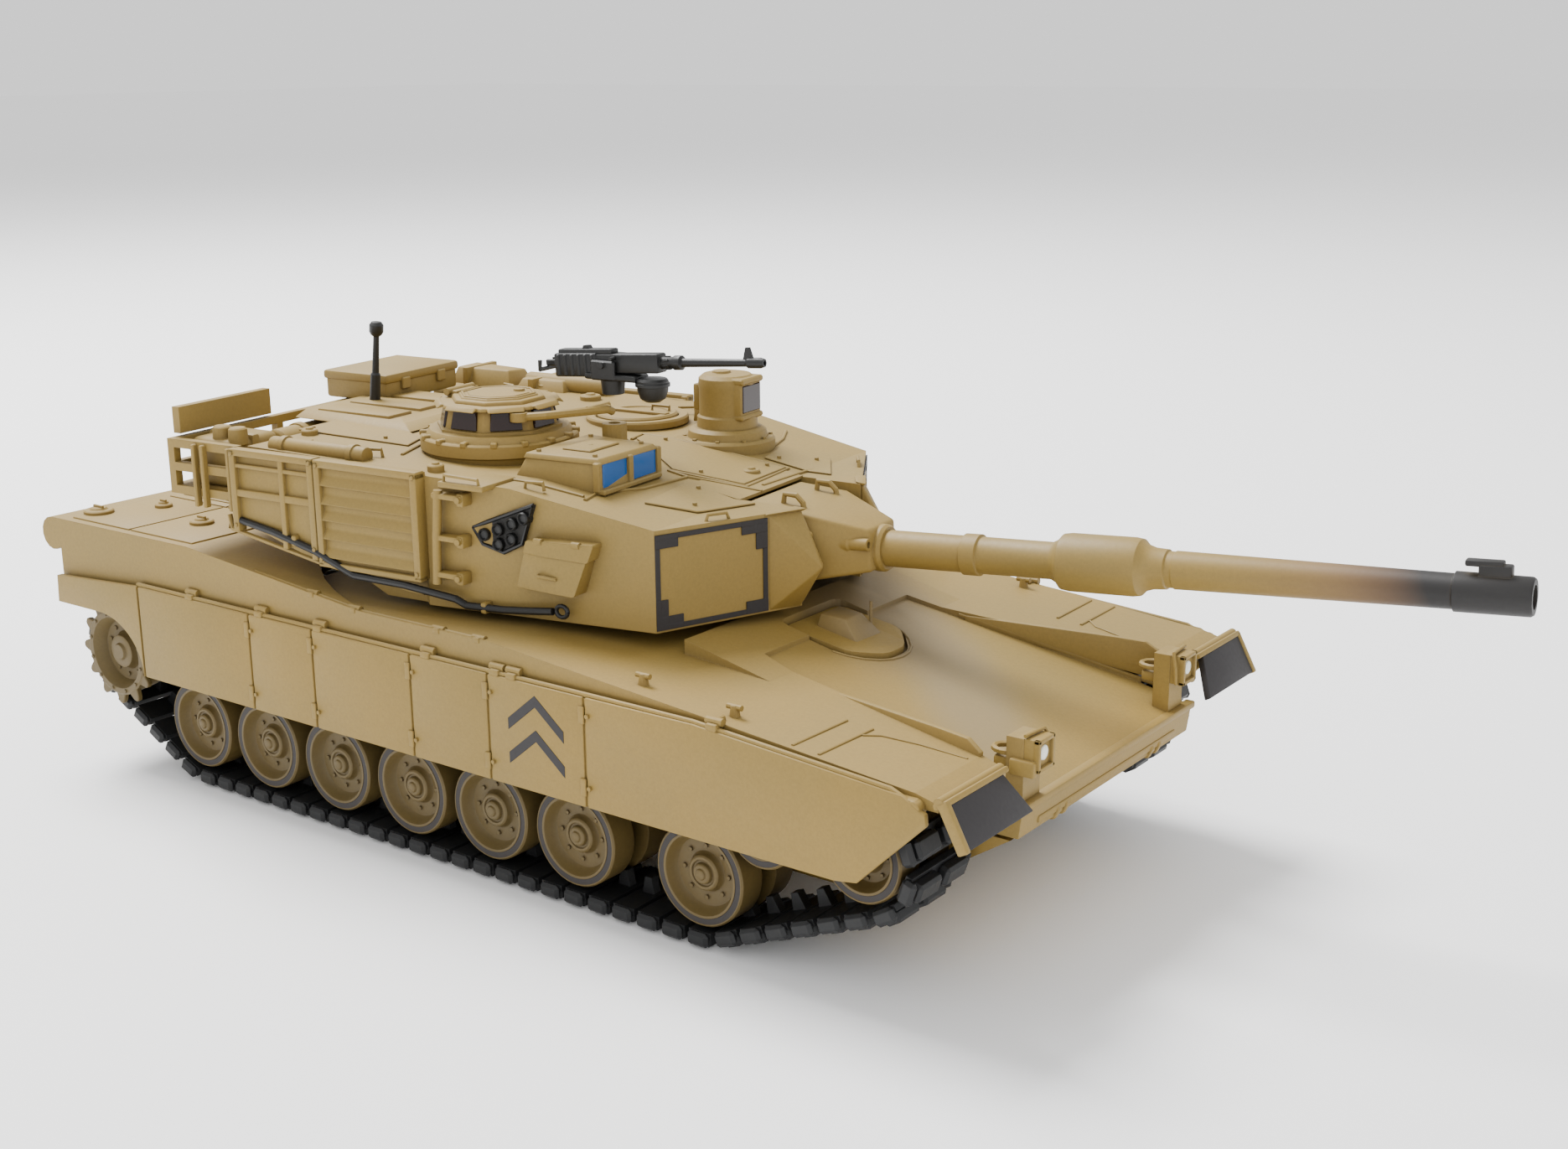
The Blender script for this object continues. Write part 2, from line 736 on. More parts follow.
@dataclass
class Skirts(Assembly):
    """The armoured side skirts: a backing plate and seven panels with hinges and latches."""

    seams: tuple[float, ...] = (13.35, 29.95, 38.69, 51.36, 60.67, 71.45)
    rear: float = -0.4
    front: float = 104.2
    low: float = 10.9
    high: float = 20.1
    inner: float = 24.8
    outer: float = 25.4
    seam_gap: float = 0.22
    hinges: tuple[float, ...] = (21.2, 31.3, 39.4, 53.2, 61.4, 63.3, 84.4)

    def outline(self, inset: float = 0.0) -> list[tuple[float, float]]:
        """The skirt's side outline, with the round cut-out over the sprocket."""
        points = [(0.2, self.high - 0.8), (0.0, 16.5)]
        for step in range(13):
            angle = math.radians(90.0 - 7.5 * step)
            points.append((6.8 + 6.4 * math.cos(angle), self.low + 5.6 * math.sin(angle) + inset))
        return points + [
            (95.9, 10.5 + inset), (97.9, 10.8 + inset), (98.8, 11.7 + inset),
            (103.9 - inset, 16.7), (103.8 - inset, 17.5), (101.8, 18.6 - inset),
            (82.6, self.high - inset), (13.2, self.high - inset)]

    def build(self) -> None:
        """Make the backing, the panels, the top rail, hinges, latches and the mark."""
        for side in sides():
            self.build_side(side)

    def build_side(self, side: Side) -> None:
        """Make one side's skirt.

        Args:
            side: the side.
        """
        name = side.label
        back = Shape.plate(self.outline(0.12), self.inner, self.outer - 0.2).on(side)
        self.yard.fit(f"skirt_backing_{name}", back, SAND, Spot.HULL, replaces=[f"skirt_{name}"])
        edges = [self.rear, *self.seams, self.front]
        for number, (start, end) in enumerate(zip(edges, edges[1:]), 1):
            panel = Shape.plate(self.outline(), self.inner + 0.1, self.outer)
            panel.between(Axis.X, start + self.seam_gap / 2, end - self.seam_gap / 2)
            panel.bevel(0.13, 2, 40.0).on(side)
            self.yard.fit(f"skirt_panel_{name}_{number}", panel, SAND, Spot.HULL)
        rail = Shape.rod([(13.0, 24.95, 20.2), (71.4, 24.95, 20.2), (82.4, 24.95, 20.15),
                          (100.6, 24.95, 18.75), (102.6, 24.95, 17.95)], 0.24)
        rail.add(Shape.disc(0.62, 24.1, 25.35, Axis.Y, 16).move((102.7, 0, 17.75)).bevel(0.15),
                 Shape.box((100.2, 24.2, 17.4), (102.9, 25.3, 18.4)).bevel(0.2))
        for place in self.hinges:
            rail.add(self.hinge(place))
        self.yard.fit(f"skirt_rail_{name}", rail.on(side), SAND, Spot.HULL)
        latch = Shape()
        for place in self.seams[1:]:
            for height in (12.4, 18.6):
                latch.add(Shape.box((place - 0.5, 25.3, height - 0.75),
                                    (place + 0.1, 25.55, height + 0.75)).bevel(0.09))
                latch.add(Shape.disc(0.2, 25.3, 25.6, Axis.Y, 8).move((place + 0.45, 0, height)))
        self.yard.fit(f"skirt_latches_{name}", latch.on(side), SAND, Spot.HULL)
        self.build_mark(side)

    def hinge(self, place: float) -> Shape:
        """One hinge lug on the skirt's top edge."""
        height = self.high if place < 82.6 else self.high - 0.1
        lug = Shape.box((place - 0.55, 24.3, height - 0.3), (place + 0.55, 25.35, height + 0.45))
        lug.bevel(0.16)
        return lug.add(Shape.disc(0.33, -0.8, 0.8, Axis.X, 10).move((place, 24.7, height + 0.55)),
                       Shape.disc(0.3, 23.7, 24.5, Axis.Y, 8).move((place, 0, height + 0.5)))

    def build_mark(self, side: Side) -> None:
        """Put two plain stacked chevrons on one panel, as thin as a stencilled coat."""
        middle, half, rise, thick = 66.1, 3.1, 2.5, 1.0
        mark = Shape()
        for height in (13.2, 16.2):
            mark.add(Shape.plate([
                (middle - half, height - thick / 2), (middle, height + rise - thick / 2),
                (middle + half, height - thick / 2), (middle + half, height + thick / 2),
                (middle, height + rise + thick / 2), (middle - half, height + thick / 2)],
                self.outer - 0.02, self.outer + 0.03))
        self.yard.fit(f"skirt_mark_{side.label}", mark.on(side), PANEL_GREY, Spot.HULL)


@dataclass
class HullDetails(Assembly):
    """What is fixed on the upper and lower hull: grilles, caps, lamps, flaps, fins and lugs."""

    lamp_spread: float = 12.6
    lamp_height: float = 19.0
    lamp_front: float = 106.6
    deck_top: float = 25.0

    def glacis(self, x: float) -> float:
        """The glacis plate's height at a place along the hull."""
        return 14.9 + (105.9 - x) * 6.1 / 27.0

    def fender(self, x: float) -> float:
        """The fender's height at a place along the hull."""
        line = ((44.5, 22.6), (60.0, 22.6), (82.6, 20.6), (102.4, 18.7), (104.4, 18.2))
        for (x0, z0), (x1, z1) in zip(line, line[1:]):
            if x <= x1:
                return z0 + (z1 - z0) * (x - x0) / (x1 - x0)
        return line[-1][1]

    def build(self) -> None:
        """Make every fixed detail of the hull."""
        self.build_engine_deck()
        self.build_rear()
        self.build_front()
        self.build_hatch()
        self.build_underside()
        for side in sides():
            self.build_lamp(side)
            self.build_flap(side)
            self.build_fender(side)

    def build_engine_deck(self) -> None:
        """Cover plates, louvred grilles, filler caps and grab handles behind the turret."""
        plates = Shape()
        top = self.deck_top
        for low, high in ((-23.6, -12.2), (-11.9, -0.15), (0.15, 11.9), (12.2, 23.6)):
            for start, end in ((1.2, 10.4), (10.7, 20.2)):
                plates.add(Shape.box((start, low, top - 0.2), (end, high, top + 0.16)).bevel(0.1))
        self.yard.fit("engine_cover_plates", plates, HULL_SAND, Spot.HULL)
        grille = Shape()
        for side in (-1, 1):
            grille.add(Shape.box((2.2, side * 6.0 - 4.9, top), (9.6, side * 6.0 + 4.9, top + 0.3))
                       .bevel(0.1))
            for index in range(8):
                slat = Shape.box((-0.32, side * 6.0 - 4.5, -0.09), (0.32, side * 6.0 + 4.5, 0.09))
                grille.add(slat.turn(-28, Axis.Y).move((2.9 + 0.85 * index, 0, top + 0.42)))
        self.yard.fit("engine_grilles", grille, HULL_SAND, Spot.HULL)
        caps = Shape()
        for x, y, radius in ((1.9, -21.0, 1.5), (5.2, -15.6, 0.9), (1.9, 21.0, 1.5),
                             (14.5, -18.0, 1.2), (14.5, 18.0, 1.2)):
            cap = Shape.turned([(0, 0), (0, radius), (0.3, radius), (0.42, radius - 0.14),
                                (0.42, radius * 0.62), (0.62, radius * 0.5), (0.62, 0)], 24)
            cap.add(Shape.box((-radius * 0.5, -0.14, 0.5), (radius * 0.5, 0.14, 0.85)).bevel(0.07))
            caps.add(cap.move((x, y, top + 0.1)))
        for y in (-16.5, -7.0, 7.0, 16.5):
            caps.add(Shape.rod([(18.4, y - 1.2, top + 0.1), (18.4, y - 1.1, top + 0.6),
                                (18.4, y + 1.1, top + 0.6), (18.4, y + 1.2, top + 0.1)], 0.13, 6))
        self.yard.fit("engine_deck_caps", caps, HULL_SAND, Spot.HULL)
        strips = Shape()
        for side in (-1, 1):
            edge = side * 24.1
            strips.add(Shape.rod([(30.0, edge, 23.9), (44.5, edge, 22.45), (59.5, edge, 22.45)],
                                 0.22, 6))
            for x in (38.0, 43.5, 54.0, 58.8):
                height = self.fender(x) if x > 44.5 else 22.6 + (44.5 - x) * 0.1
                strips.add(Shape.disc(0.3, -0.7, 0.7, Axis.X, 10).move((x, edge, height - 0.05)),
                           Shape.box((x - 0.35, edge - 0.5, height - 0.4),
                                     (x + 0.35, edge + 0.4, height + 0.1)).bevel(0.1))
        self.yard.fit("hull_edge_strips", strips, HULL_SAND, Spot.HULL)

    def build_rear(self) -> None:
        """Exhaust grille, tail lamps, tow eyes and the infantry box on the rear face."""
        grille = Shape.box((-0.55, -13.6, 18.9), (0.3, 13.6, 22.3)).bevel(0.18)
        for index in range(6):
            slat = Shape.box((-0.45, -12.8, -0.1), (0.35, 12.8, 0.1)).turn(30, Axis.Y)
            grille.add(slat.move((-0.75, 0, 19.3 + 0.52 * index)))
        for y in (-4.4, 4.4):
            grille.add(Shape.box((-1.1, y - 0.25, 18.9), (-0.4, y + 0.25, 22.3)).bevel(0.1))
        grille.add(Shape.box((-0.9, 15.4, 19.0), (0.2, 17.6, 21.6)).bevel(0.25))
        self.yard.fit("exhaust_grille", grille, SAND, Spot.HULL)
        lamps = Shape()
        guards = Shape()
        for side in (-1, 1):
            for height in (19.8, 21.2):
                lens = Shape.turned([(0, 0), (0, 0.5), (0.35, 0.42), (0.5, 0.2), (0.5, 0)], 16,
                                    Axis.X)
                lamps.add(lens.stretch((-1, 1, 1)).move((-0.5, side * 21.0, height)))
            guards.add(Shape.box((-0.6, side * 21.0 - 1.1, 18.9), (0.2, side * 21.0 + 1.1, 22.1))
                       .bevel(0.2))
        bmesh.ops.recalc_face_normals(lamps.mesh, faces=lamps.mesh.faces)
        self.yard.fit("tail_lamps", lamps, LENS_RED, Spot.HULL)
        self.yard.fit("tail_lamp_boxes", guards, SAND, Spot.HULL)
        hooks = Shape()
        for y in (-9.5, 9.5):
            hooks.add(Shape.box((1.5, y - 1.3, 11.2), (2.4, y + 1.3, 13.6)).bevel(0.2))
            hooks.add(Shape.rod([(1.9, y - 0.75, 12.9), (0.7, y - 0.75, 12.4), (0.2, y, 12.2),
                                 (0.7, y + 0.75, 12.4), (1.9, y + 0.75, 12.9)], 0.26))
        hooks.add(Shape.turned([(0, 0), (0, 1.3), (0.5, 1.3), (0.7, 0.7), (1.6, 0.6), (1.8, 0.9),
                                (2.3, 0.9), (2.4, 0)], 20, Axis.X).stretch((-1, 1, 1))
                  .move((2.4, 0, 12.6)))
        bmesh.ops.recalc_face_normals(hooks.mesh, faces=hooks.mesh.faces)
        self.yard.fit("tow_hooks_rear", hooks, SAND, Spot.HULL)

    def build_front(self) -> None:
        """The nose lip, tow eyes and the rails that run up the glacis beside the fenders."""
        lip = Shape.box((105.0, -15.5, 14.5), (105.95, 15.5, 15.15)).bevel(0.2)
        lip.add(Shape.box((104.9, -12.0, 12.9), (105.75, 12.0, 13.5)).bevel(0.15))
        self.yard.fit("nose_lip", lip, HULL_SAND, Spot.HULL)
        eyes = Shape()
        for y in (-8.2, 8.2):
            lug = Shape.plate([(0, 0), (1.5, 0.3), (1.9, 1.1), (1.5, 1.9), (0, 2.3)], -0.3, 0.3)
            lug.bevel(0.12)
            eyes.add(lug.move((104.0, y - 0.7, 11.9)))
            other = Shape.plate([(0, 0), (1.5, 0.3), (1.9, 1.1), (1.5, 1.9), (0, 2.3)], -0.3, 0.3)
            eyes.add(other.bevel(0.12).move((104.0, y + 0.7, 11.9)))
            eyes.add(Shape.disc(0.32, y - 1.25, y + 1.25, Axis.Y, 10).move((105.1, 0, 13.0)))
        self.yard.fit("tow_eyes_front", eyes, SAND, Spot.HULL)
        rails = Shape()
        for side in (-1, 1):
            line = [(x, side * (11.05 + (x - 79.0) * 0.178), self.glacis(x) + 0.3)
                    for x in (84.0, 88.0, 92.0, 96.0, 100.0, 103.6)]
            rails.add(Shape.rod(line, 0.2, 6))
            rails.add(Shape.plate([(84.6, -0.9), (102.6, -1.6), (102.8, 0.9), (101.4, 1.6),
                                   (98.6, 1.4), (84.6, 0.1)], -0.25, 0.25).bevel(0.1)
                      .turn(side * 10.1, Axis.Z, (84.6, 0, 0)).turn(6.3, Axis.Y, (84.6, 0, 0))
                      .move((0, side * 12.1, self.fender(84.6) - 0.35)))
        self.yard.fit("glacis_fins", rails, HULL_SAND, Spot.HULL)

    def build_lamp(self, side: Side) -> None:
        """A head lamp: housing with a recessed face, white lens, guard hoop and bracket.

        Args:
            side: the side.
        """
        x, y, z = self.lamp_front, self.lamp_spread, self.lamp_height
        half = 1.25
        case = Shape.box((x - 2.0, y - half, z - 1.35), (x - 0.3, y + half, z + 1.25)).bevel(0.2)
        rim = 0.34
        for low, high in (((x - 0.5, y - half, z - 1.35), (x, y - half + rim, z + 1.25)),
                          ((x - 0.5, y + half - rim, z - 1.35), (x, y + half, z + 1.25)),
                          ((x - 0.5, y - half, z + 1.25 - rim), (x, y + half, z + 1.25)),
                          ((x - 0.5, y - half, z - 1.35), (x, y + half, z - 1.35 + rim))):
            case.add(Shape.box(low, high).bevel(0.08))
        case.add(Shape.rod([(x - 0.6, y - 1.5, z - 1.2), (x - 0.6, y - 1.75, z + 0.4),
                            (x - 1.0, y - 1.3, z + 1.45), (x - 1.2, y + 1.3, z + 1.45)], 0.16, 6))
        case.add(Shape.box((x - 4.2, y - 0.9, z - 1.6), (x - 1.8, y + 0.9, z - 0.7)).bevel(0.25))
        loop = [(x - 3.4 + 1.1 * math.cos(a), y + 0.9 * math.sin(a), z - 0.3)
                for a in [math.radians(30 * k) for k in range(13)]]
        case.add(Shape.rod(loop, 0.26, 6))
        case.add(Shape.box((x - 2.4, y + 1.0, z - 1.7), (x - 0.2, y + 1.7, z - 0.4)).bevel(0.2))
        self.yard.fit(f"head_lamp_{side.label}", case.on(side), SAND, Spot.HULL)
        lens = Shape.turned([(0, 0), (0, 0.62), (0.12, 0.56), (0.2, 0.3), (0.22, 0)], 24, Axis.X)
        lens.move((x - 0.34, y, z))
        self.yard.fit(f"head_lamp_lens_{side.label}", lens.on(side), LENS_WHITE, Spot.HULL)

    def build_flap(self, side: Side) -> None:
        """A mud flap: dark rubber panel in a sand frame.

        Args:
            side: the side.
        """
        slope = Matrix.Rotation(math.radians(-27.9), 3, "Y")
        top = Vector((104.9, 0, 18.62))
        panel = Shape.plate([(17.4, -0.3), (15.6, -3.85), (24.95, -3.85), (24.95, -0.3)],
                            0.0, 0.6, Axis.X).bevel(0.1)
        frame_bars = Shape.box((-0.2, 24.8, -3.95), (0.72, 25.38, 0.0)).bevel(0.14)
        frame_bars.add(Shape.box((-0.6, 16.6, -0.35), (0.72, 25.3, 0.1)).bevel(0.12),
                       Shape.disc(0.42, 16.6, 25.3, Axis.Y, 12).move((0.0, 0, 0.05)))
        for shape in (panel, frame_bars):
            bmesh.ops.rotate(shape.mesh, verts=shape.mesh.verts, matrix=slope)
            shape.move(top).on(side)
        name = side.label
        self.yard.fit(f"mud_flap_panel_{name}", panel, PANEL_GREY, Spot.HULL,
                      replaces=[f"mud_flap_{name}"])
        self.yard.fit(f"mud_flap_frame_{name}", frame_bars, SAND, Spot.HULL)

    def build_fender(self, side: Side) -> None:
        """Transverse beads and small lugs on a front fender.

        Args:
            side: the side.
        """
        beads = Shape()
        for x in (91.4, 93.8):
            beads.add(Shape.rod([(x, 17.0, self.fender(x) + 0.02), (x - 0.2, 24.0,
                                 self.fender(x) + 0.02)], 0.13, 6))
        for x, y in ((84.7, 22.6), (75.5, 22.6)):
            beads.add(Shape.disc(0.5, -0.3, 0.9, Axis.Z, 10, 0.32).move((x, y, self.fender(x))),
                      Shape.disc(0.24, -0.7, 0.7, Axis.X, 8).move((x, y, self.fender(x) + 0.75)))
        bend = [(102.0, 16.5, self.fender(102.0)), (98.0, 16.9, self.fender(98.0) + 0.03),
                (95.0, 17.6, self.fender(95.0) + 0.03), (93.9, 18.6, self.fender(93.9) + 0.03)]
        beads.add(Shape.rod(bend, 0.1, 6))
        self.yard.fit(f"fender_beads_{side.label}", beads.on(side), HULL_SAND, Spot.HULL)

    def build_hatch(self) -> None:
        """Periscopes, hinge, handle and a raised rim round the driver's hatch."""
        x, rim = 80.4, Shape()
        line = [(x + 5.0 * math.cos(math.radians(turn)) + 0.2, 4.8 * math.sin(math.radians(turn)))
                for turn in range(-80, 81, 16)]
        height = [min(self.glacis(px), self.fender(px)) for px, _ in line]
        rim.add(Shape.rod([(px, py, pz + 0.02) for (px, py), pz in zip(line, height)], 0.12, 6))
        lift = self.fender(x) - 0.5
        block = Shape.wrapped([(-2.6, -2.0, 0), (2.2, -2.0, 0), (-2.6, 2.0, 0), (2.2, 2.0, 0),
                               (-2.2, -1.5, 2.1), (0.3, -1.3, 1.9), (-2.2, 1.5, 2.1),
                               (0.3, 1.3, 1.9)])
        rim.add(block.bevel(0.14).move((x - 0.4, 0.2, lift)))
        rim.add(Shape.disc(0.14, lift, lift + 3.0, Axis.Z, 8).move((x + 0.6, 1.9, 0)))
        rim.add(Shape.disc(0.45, -5.6, -3.9, Axis.Y, 12).move((x - 3.4, 0, 21.0)))
        self.yard.fit("driver_hatch_fittings", rim, HULL_SAND, Spot.HULL)

    def build_underside(self) -> None:
        """Shallow ribs and drain plugs on the belly."""
        ribs = Shape()
        for x in (14.0, 35.0, 58.5, 80.0):
            ribs.add(Shape.box((x - 0.5, -13.0, 4.15), (x + 0.5, 13.0, 4.6)).bevel(0.12))
        for x, y in ((27.0, -6.0), (27.0, 6.0), (74.0, -6.0), (74.0, 6.0)):
            ribs.add(Shape.disc(1.1, 4.1, 4.5, Axis.Z, 6).move((x, y, 0)))
        self.yard.fit("belly_ribs", ribs, SAND, Spot.HULL)


@dataclass
class BeltPath:
    """The closed path of a track's inner face round its wheels."""

    circles: tuple[tuple[float, float, float], ...] = (
        (18.4, 6.3, 4.7), (81.15, 6.3, 4.7), (96.75, 11.6, 3.9), (7.5, 12.1, 4.5))

    def pieces(self) -> list[tuple]:
        """The straight runs and arcs, each with its length first."""
        found, normals, count = [], [], len(self.circles)
        for index, (x0, z0, r0) in enumerate(self.circles):
            x1, z1, r1 = self.circles[(index + 1) % count]
            heading = math.atan2(z1 - z0, x1 - x0)
            normals.append(heading - math.acos((r0 - r1) / math.hypot(x1 - x0, z1 - z0)))
        for index, (x0, z0, r0) in enumerate(self.circles):
            x1, z1, r1 = self.circles[(index + 1) % count]
            out = Vector((math.cos(normals[index]), 0, math.sin(normals[index])))
            start = Vector((x0, 0, z0)) + out * r0
            end = Vector((x1, 0, z1)) + out * r1
            found.append(((end - start).length, start, end, normals[index]))
            turn = (normals[(index + 1) % count] - normals[index]) % (2 * math.pi)
            found.append((turn * r1, Vector((x1, 0, z1)), r1, normals[index]))
        return found

    def place(self, pieces: list[tuple], distance: float) -> Matrix:
        """A link's place: X along the belt, Z outwards from it.

        Args:
            pieces: the path's runs and arcs.
            distance: how far along it.

        Returns:
            The place.
        """
        distance %= sum(piece[0] for piece in pieces)
        for length, first, second, angle in pieces:
            if distance <= length:
                break
            distance -= length
        if isinstance(second, float):
            angle += distance / second
            point = first + Vector((math.cos(angle), 0, math.sin(angle))) * second
        else:
            point = first.lerp(second, distance / length)
        return Matrix.Translation(point) @ Matrix.Rotation(math.pi / 2 - angle, 4, "Y")


@dataclass
class Tracks(Assembly):
    """Both tracks, link by link: padded shoes, end connectors and centre guides."""

    pitch: float = 2.7
    inner: float = 15.3
    outer: float = 23.7

    def link(self) -> Shape:
        """One link about its own origin: X along the track, Z outwards, for the left side."""
        low, high = self.inner, self.outer
        middle = (low + high) / 2
        web = Shape.box((-1.12, low + 0.55, 0.08), (1.12, high - 0.55, 0.62))
        for start, end in ((low + 0.75, middle - 0.35), (middle + 0.35, high - 0.75)):
            pad = Shape.box((-0.82, start, 0.5), (0.82, end, 1.58))
            web.add(pad.bevel(0.26, 1, 60.0))
        for start, end in ((low, low + 0.7), (high - 0.7, high)):
            web.add(Shape.box((-1.05, start, 0.05), (1.05, end, 1.3)).bevel(0.28, 1, 60.0))
        guide = Shape.plate([(-0.7, 0.3), (0.7, 0.3), (0.35, -1.35), (-0.35, -1.35)],
                            middle - 0.42, middle + 0.42)
        return web.add(guide)

    def build(self) -> None:
        """Lay both tracks."""
        path = BeltPath()
        pieces = path.pieces()
        length = sum(piece[0] for piece in pieces)
        count = round(length / self.pitch)
        places = [path.place(pieces, (index + 0.29) * length / count) for index in range(count)]
        for side in sides():
            track = self.link().copies(places).on(side)
            self.yard.fit(f"track_links_{side.label}", track, TRACK_BLACK, Spot.HULL,
                          replaces=[f"track_{side.label}"], smooth=20.0)


@dataclass
class Wheel(Assembly):
    """A twin-disc wheel with a dished face, a painted tyre ring and a stepped hub."""

    name: str = ""
    node: str = ""
    body: str = ""
    side: Side = Side.LEFT
    centre: tuple[float, float] = (0.0, 0.0)
    radius: float = 4.4
    half: float = 3.55
    middle: float = 19.5
    bolts: int = 8

    def build(self) -> None:
        """Turn the wheel and its tyre ring, and set the hub's bolts."""
        r, h = self.radius, self.half
        k = r / 4.4
        profile = [
            (-h, 0.95), (-h, r - 0.2), (-h + 0.2, r), (-0.95, r), (-0.95, 2.1), (0.95, 2.1),
            (0.95, r), (h - 0.16, r), (h, r - 0.14), (h, r - 0.24), (h - 0.1, r - 0.24),
            (h - 0.1, r - 0.74), (h + 0.02, r - 0.74), (h + 0.02, r - 0.95), (h - 0.22, r - 1.06),
            (h - 0.75, r - 1.2), (h - 1.05, r - 1.45), (h - 1.15, 1.75 * k), (h - 1.0, 1.6 * k),
            (h - 0.62, 1.5 * k), (h - 0.5, 1.36 * k), (h - 0.5, 1.16 * k), (h - 0.64, 1.08 * k),
            (h - 0.64, 0.92 * k), (h - 0.34, 0.84 * k), (h - 0.24, 0.72 * k), (h - 0.24, 0.5 * k),
            (h - 0.1, 0.42 * k), (h - 0.04, 0.3 * k), (h - 0.04, 0), (2.1, 0), (2.1, 0.95)]
        disc = Shape.turned(profile, 48, Axis.Y)
        bolt = Shape.disc(0.2 * k, h - 1.2, h - 0.92, Axis.Y, 6)
        disc.add(bolt.copies(ring_of(self.bolts, 2.25 * k, Axis.Y)))
        ring = Shape.turned([(h - 0.14, r - 0.76), (h - 0.14, r - 0.2), (h - 0.015, r - 0.23),
                             (h - 0.015, r - 0.73)], 48, Axis.Y)
        for piece, shape, finish in ((f"{self.name}_disc", disc, WHEEL_SAND),
                                     (f"{self.name}_tyre_ring", ring, TYRE_GREY)):
            shape.move((0, self.middle, 0)).on(self.side)
            shape.move((self.centre[0], 0, self.centre[1]))
            replaced = [self.node] if finish is WHEEL_SAND else []
            self.yard.fit(piece, shape, finish, Spot.HULL, self.body, replaced)


@dataclass
class RunningGear(Assembly):
    """The wheels, idlers, support rollers and sprockets of both sides."""

    wheel_places: tuple[float, ...] = (81.15, 67.75, 57.88, 48.01, 38.14, 28.27, 18.4)
    wheel_height: float = 6.3
    sprocket: tuple[float, float] = (7.5, 12.1)

    def build(self) -> None:
        """Build both sides."""
        for side in sides():
            name = side.label
            for number, x in enumerate(self.wheel_places, 1):
                Wheel(self.yard, f"road_wheel_{name}_{number}", f"road_wheel_{name}_{number}",
                      f"wheel_{name}_{number}", side, (x, self.wheel_height)).build()
            Wheel(self.yard, f"idler_{name}", f"idler_{name}", f"idler_wheel_{name}", side,
                  (96.75, 11.6), radius=3.6).build()
            Wheel(self.yard, f"support_roller_{name}", f"support_roller_{name}", f"roller_{name}",
                  side, (87.3, 11.7), radius=3.3, bolts=6).build()
            self.build_sprocket(side)

    def build_sprocket(self, side: Side) -> None:
        """A sprocket: toothed ring, dished drum, hub cap and bolts.

        Args:
            side: the side.
        """
        tooth = Shape.plate([(-0.75, 4.2), (0.75, 4.2), (0.42, 5.1), (0.2, 5.35), (-0.2, 5.35),
                             (-0.42, 5.1)], 23.85, 24.4).bevel(0.08, 1, 50.0)
        ring = tooth.copies(ring_of(12, 0.0, Axis.Y))
        drum = Shape.turned([(15.5, 0.9), (15.5, 4.15), (17.6, 4.15), (17.9, 2.3), (21.1, 2.3),
                             (21.4, 4.15), (23.9, 4.4), (24.4, 4.4), (24.5, 4.25), (24.5, 3.7),
                             (23.9, 3.4),
                             (23.2, 3.1), (23.0, 2.0), (23.3, 1.75), (23.8, 1.65), (23.9, 1.4),
                             (23.9, 0.9), (24.15, 0.75), (24.15, 0), (10.9, 0), (10.9, 0.9)],
                            40, Axis.Y)
        bolt = Shape.disc(0.22, 22.9, 23.25, Axis.Y, 6)
        drum.add(ring, bolt.copies(ring_of(10, 2.55, Axis.Y)))
        plug = Shape.disc(0.2, 24.4, 24.62, Axis.Y, 6)
        drum.add(plug.copies(ring_of(12, 4.0, Axis.Y, 15.0)))
        drum.on(side).move((self.sprocket[0], 0, self.sprocket[1]))
        self.yard.fit(f"sprocket_drum_{side.label}", drum, WHEEL_SAND, Spot.HULL,
                      f"sprocket_set_{side.label}", [f"sprocket_{side.label}"])


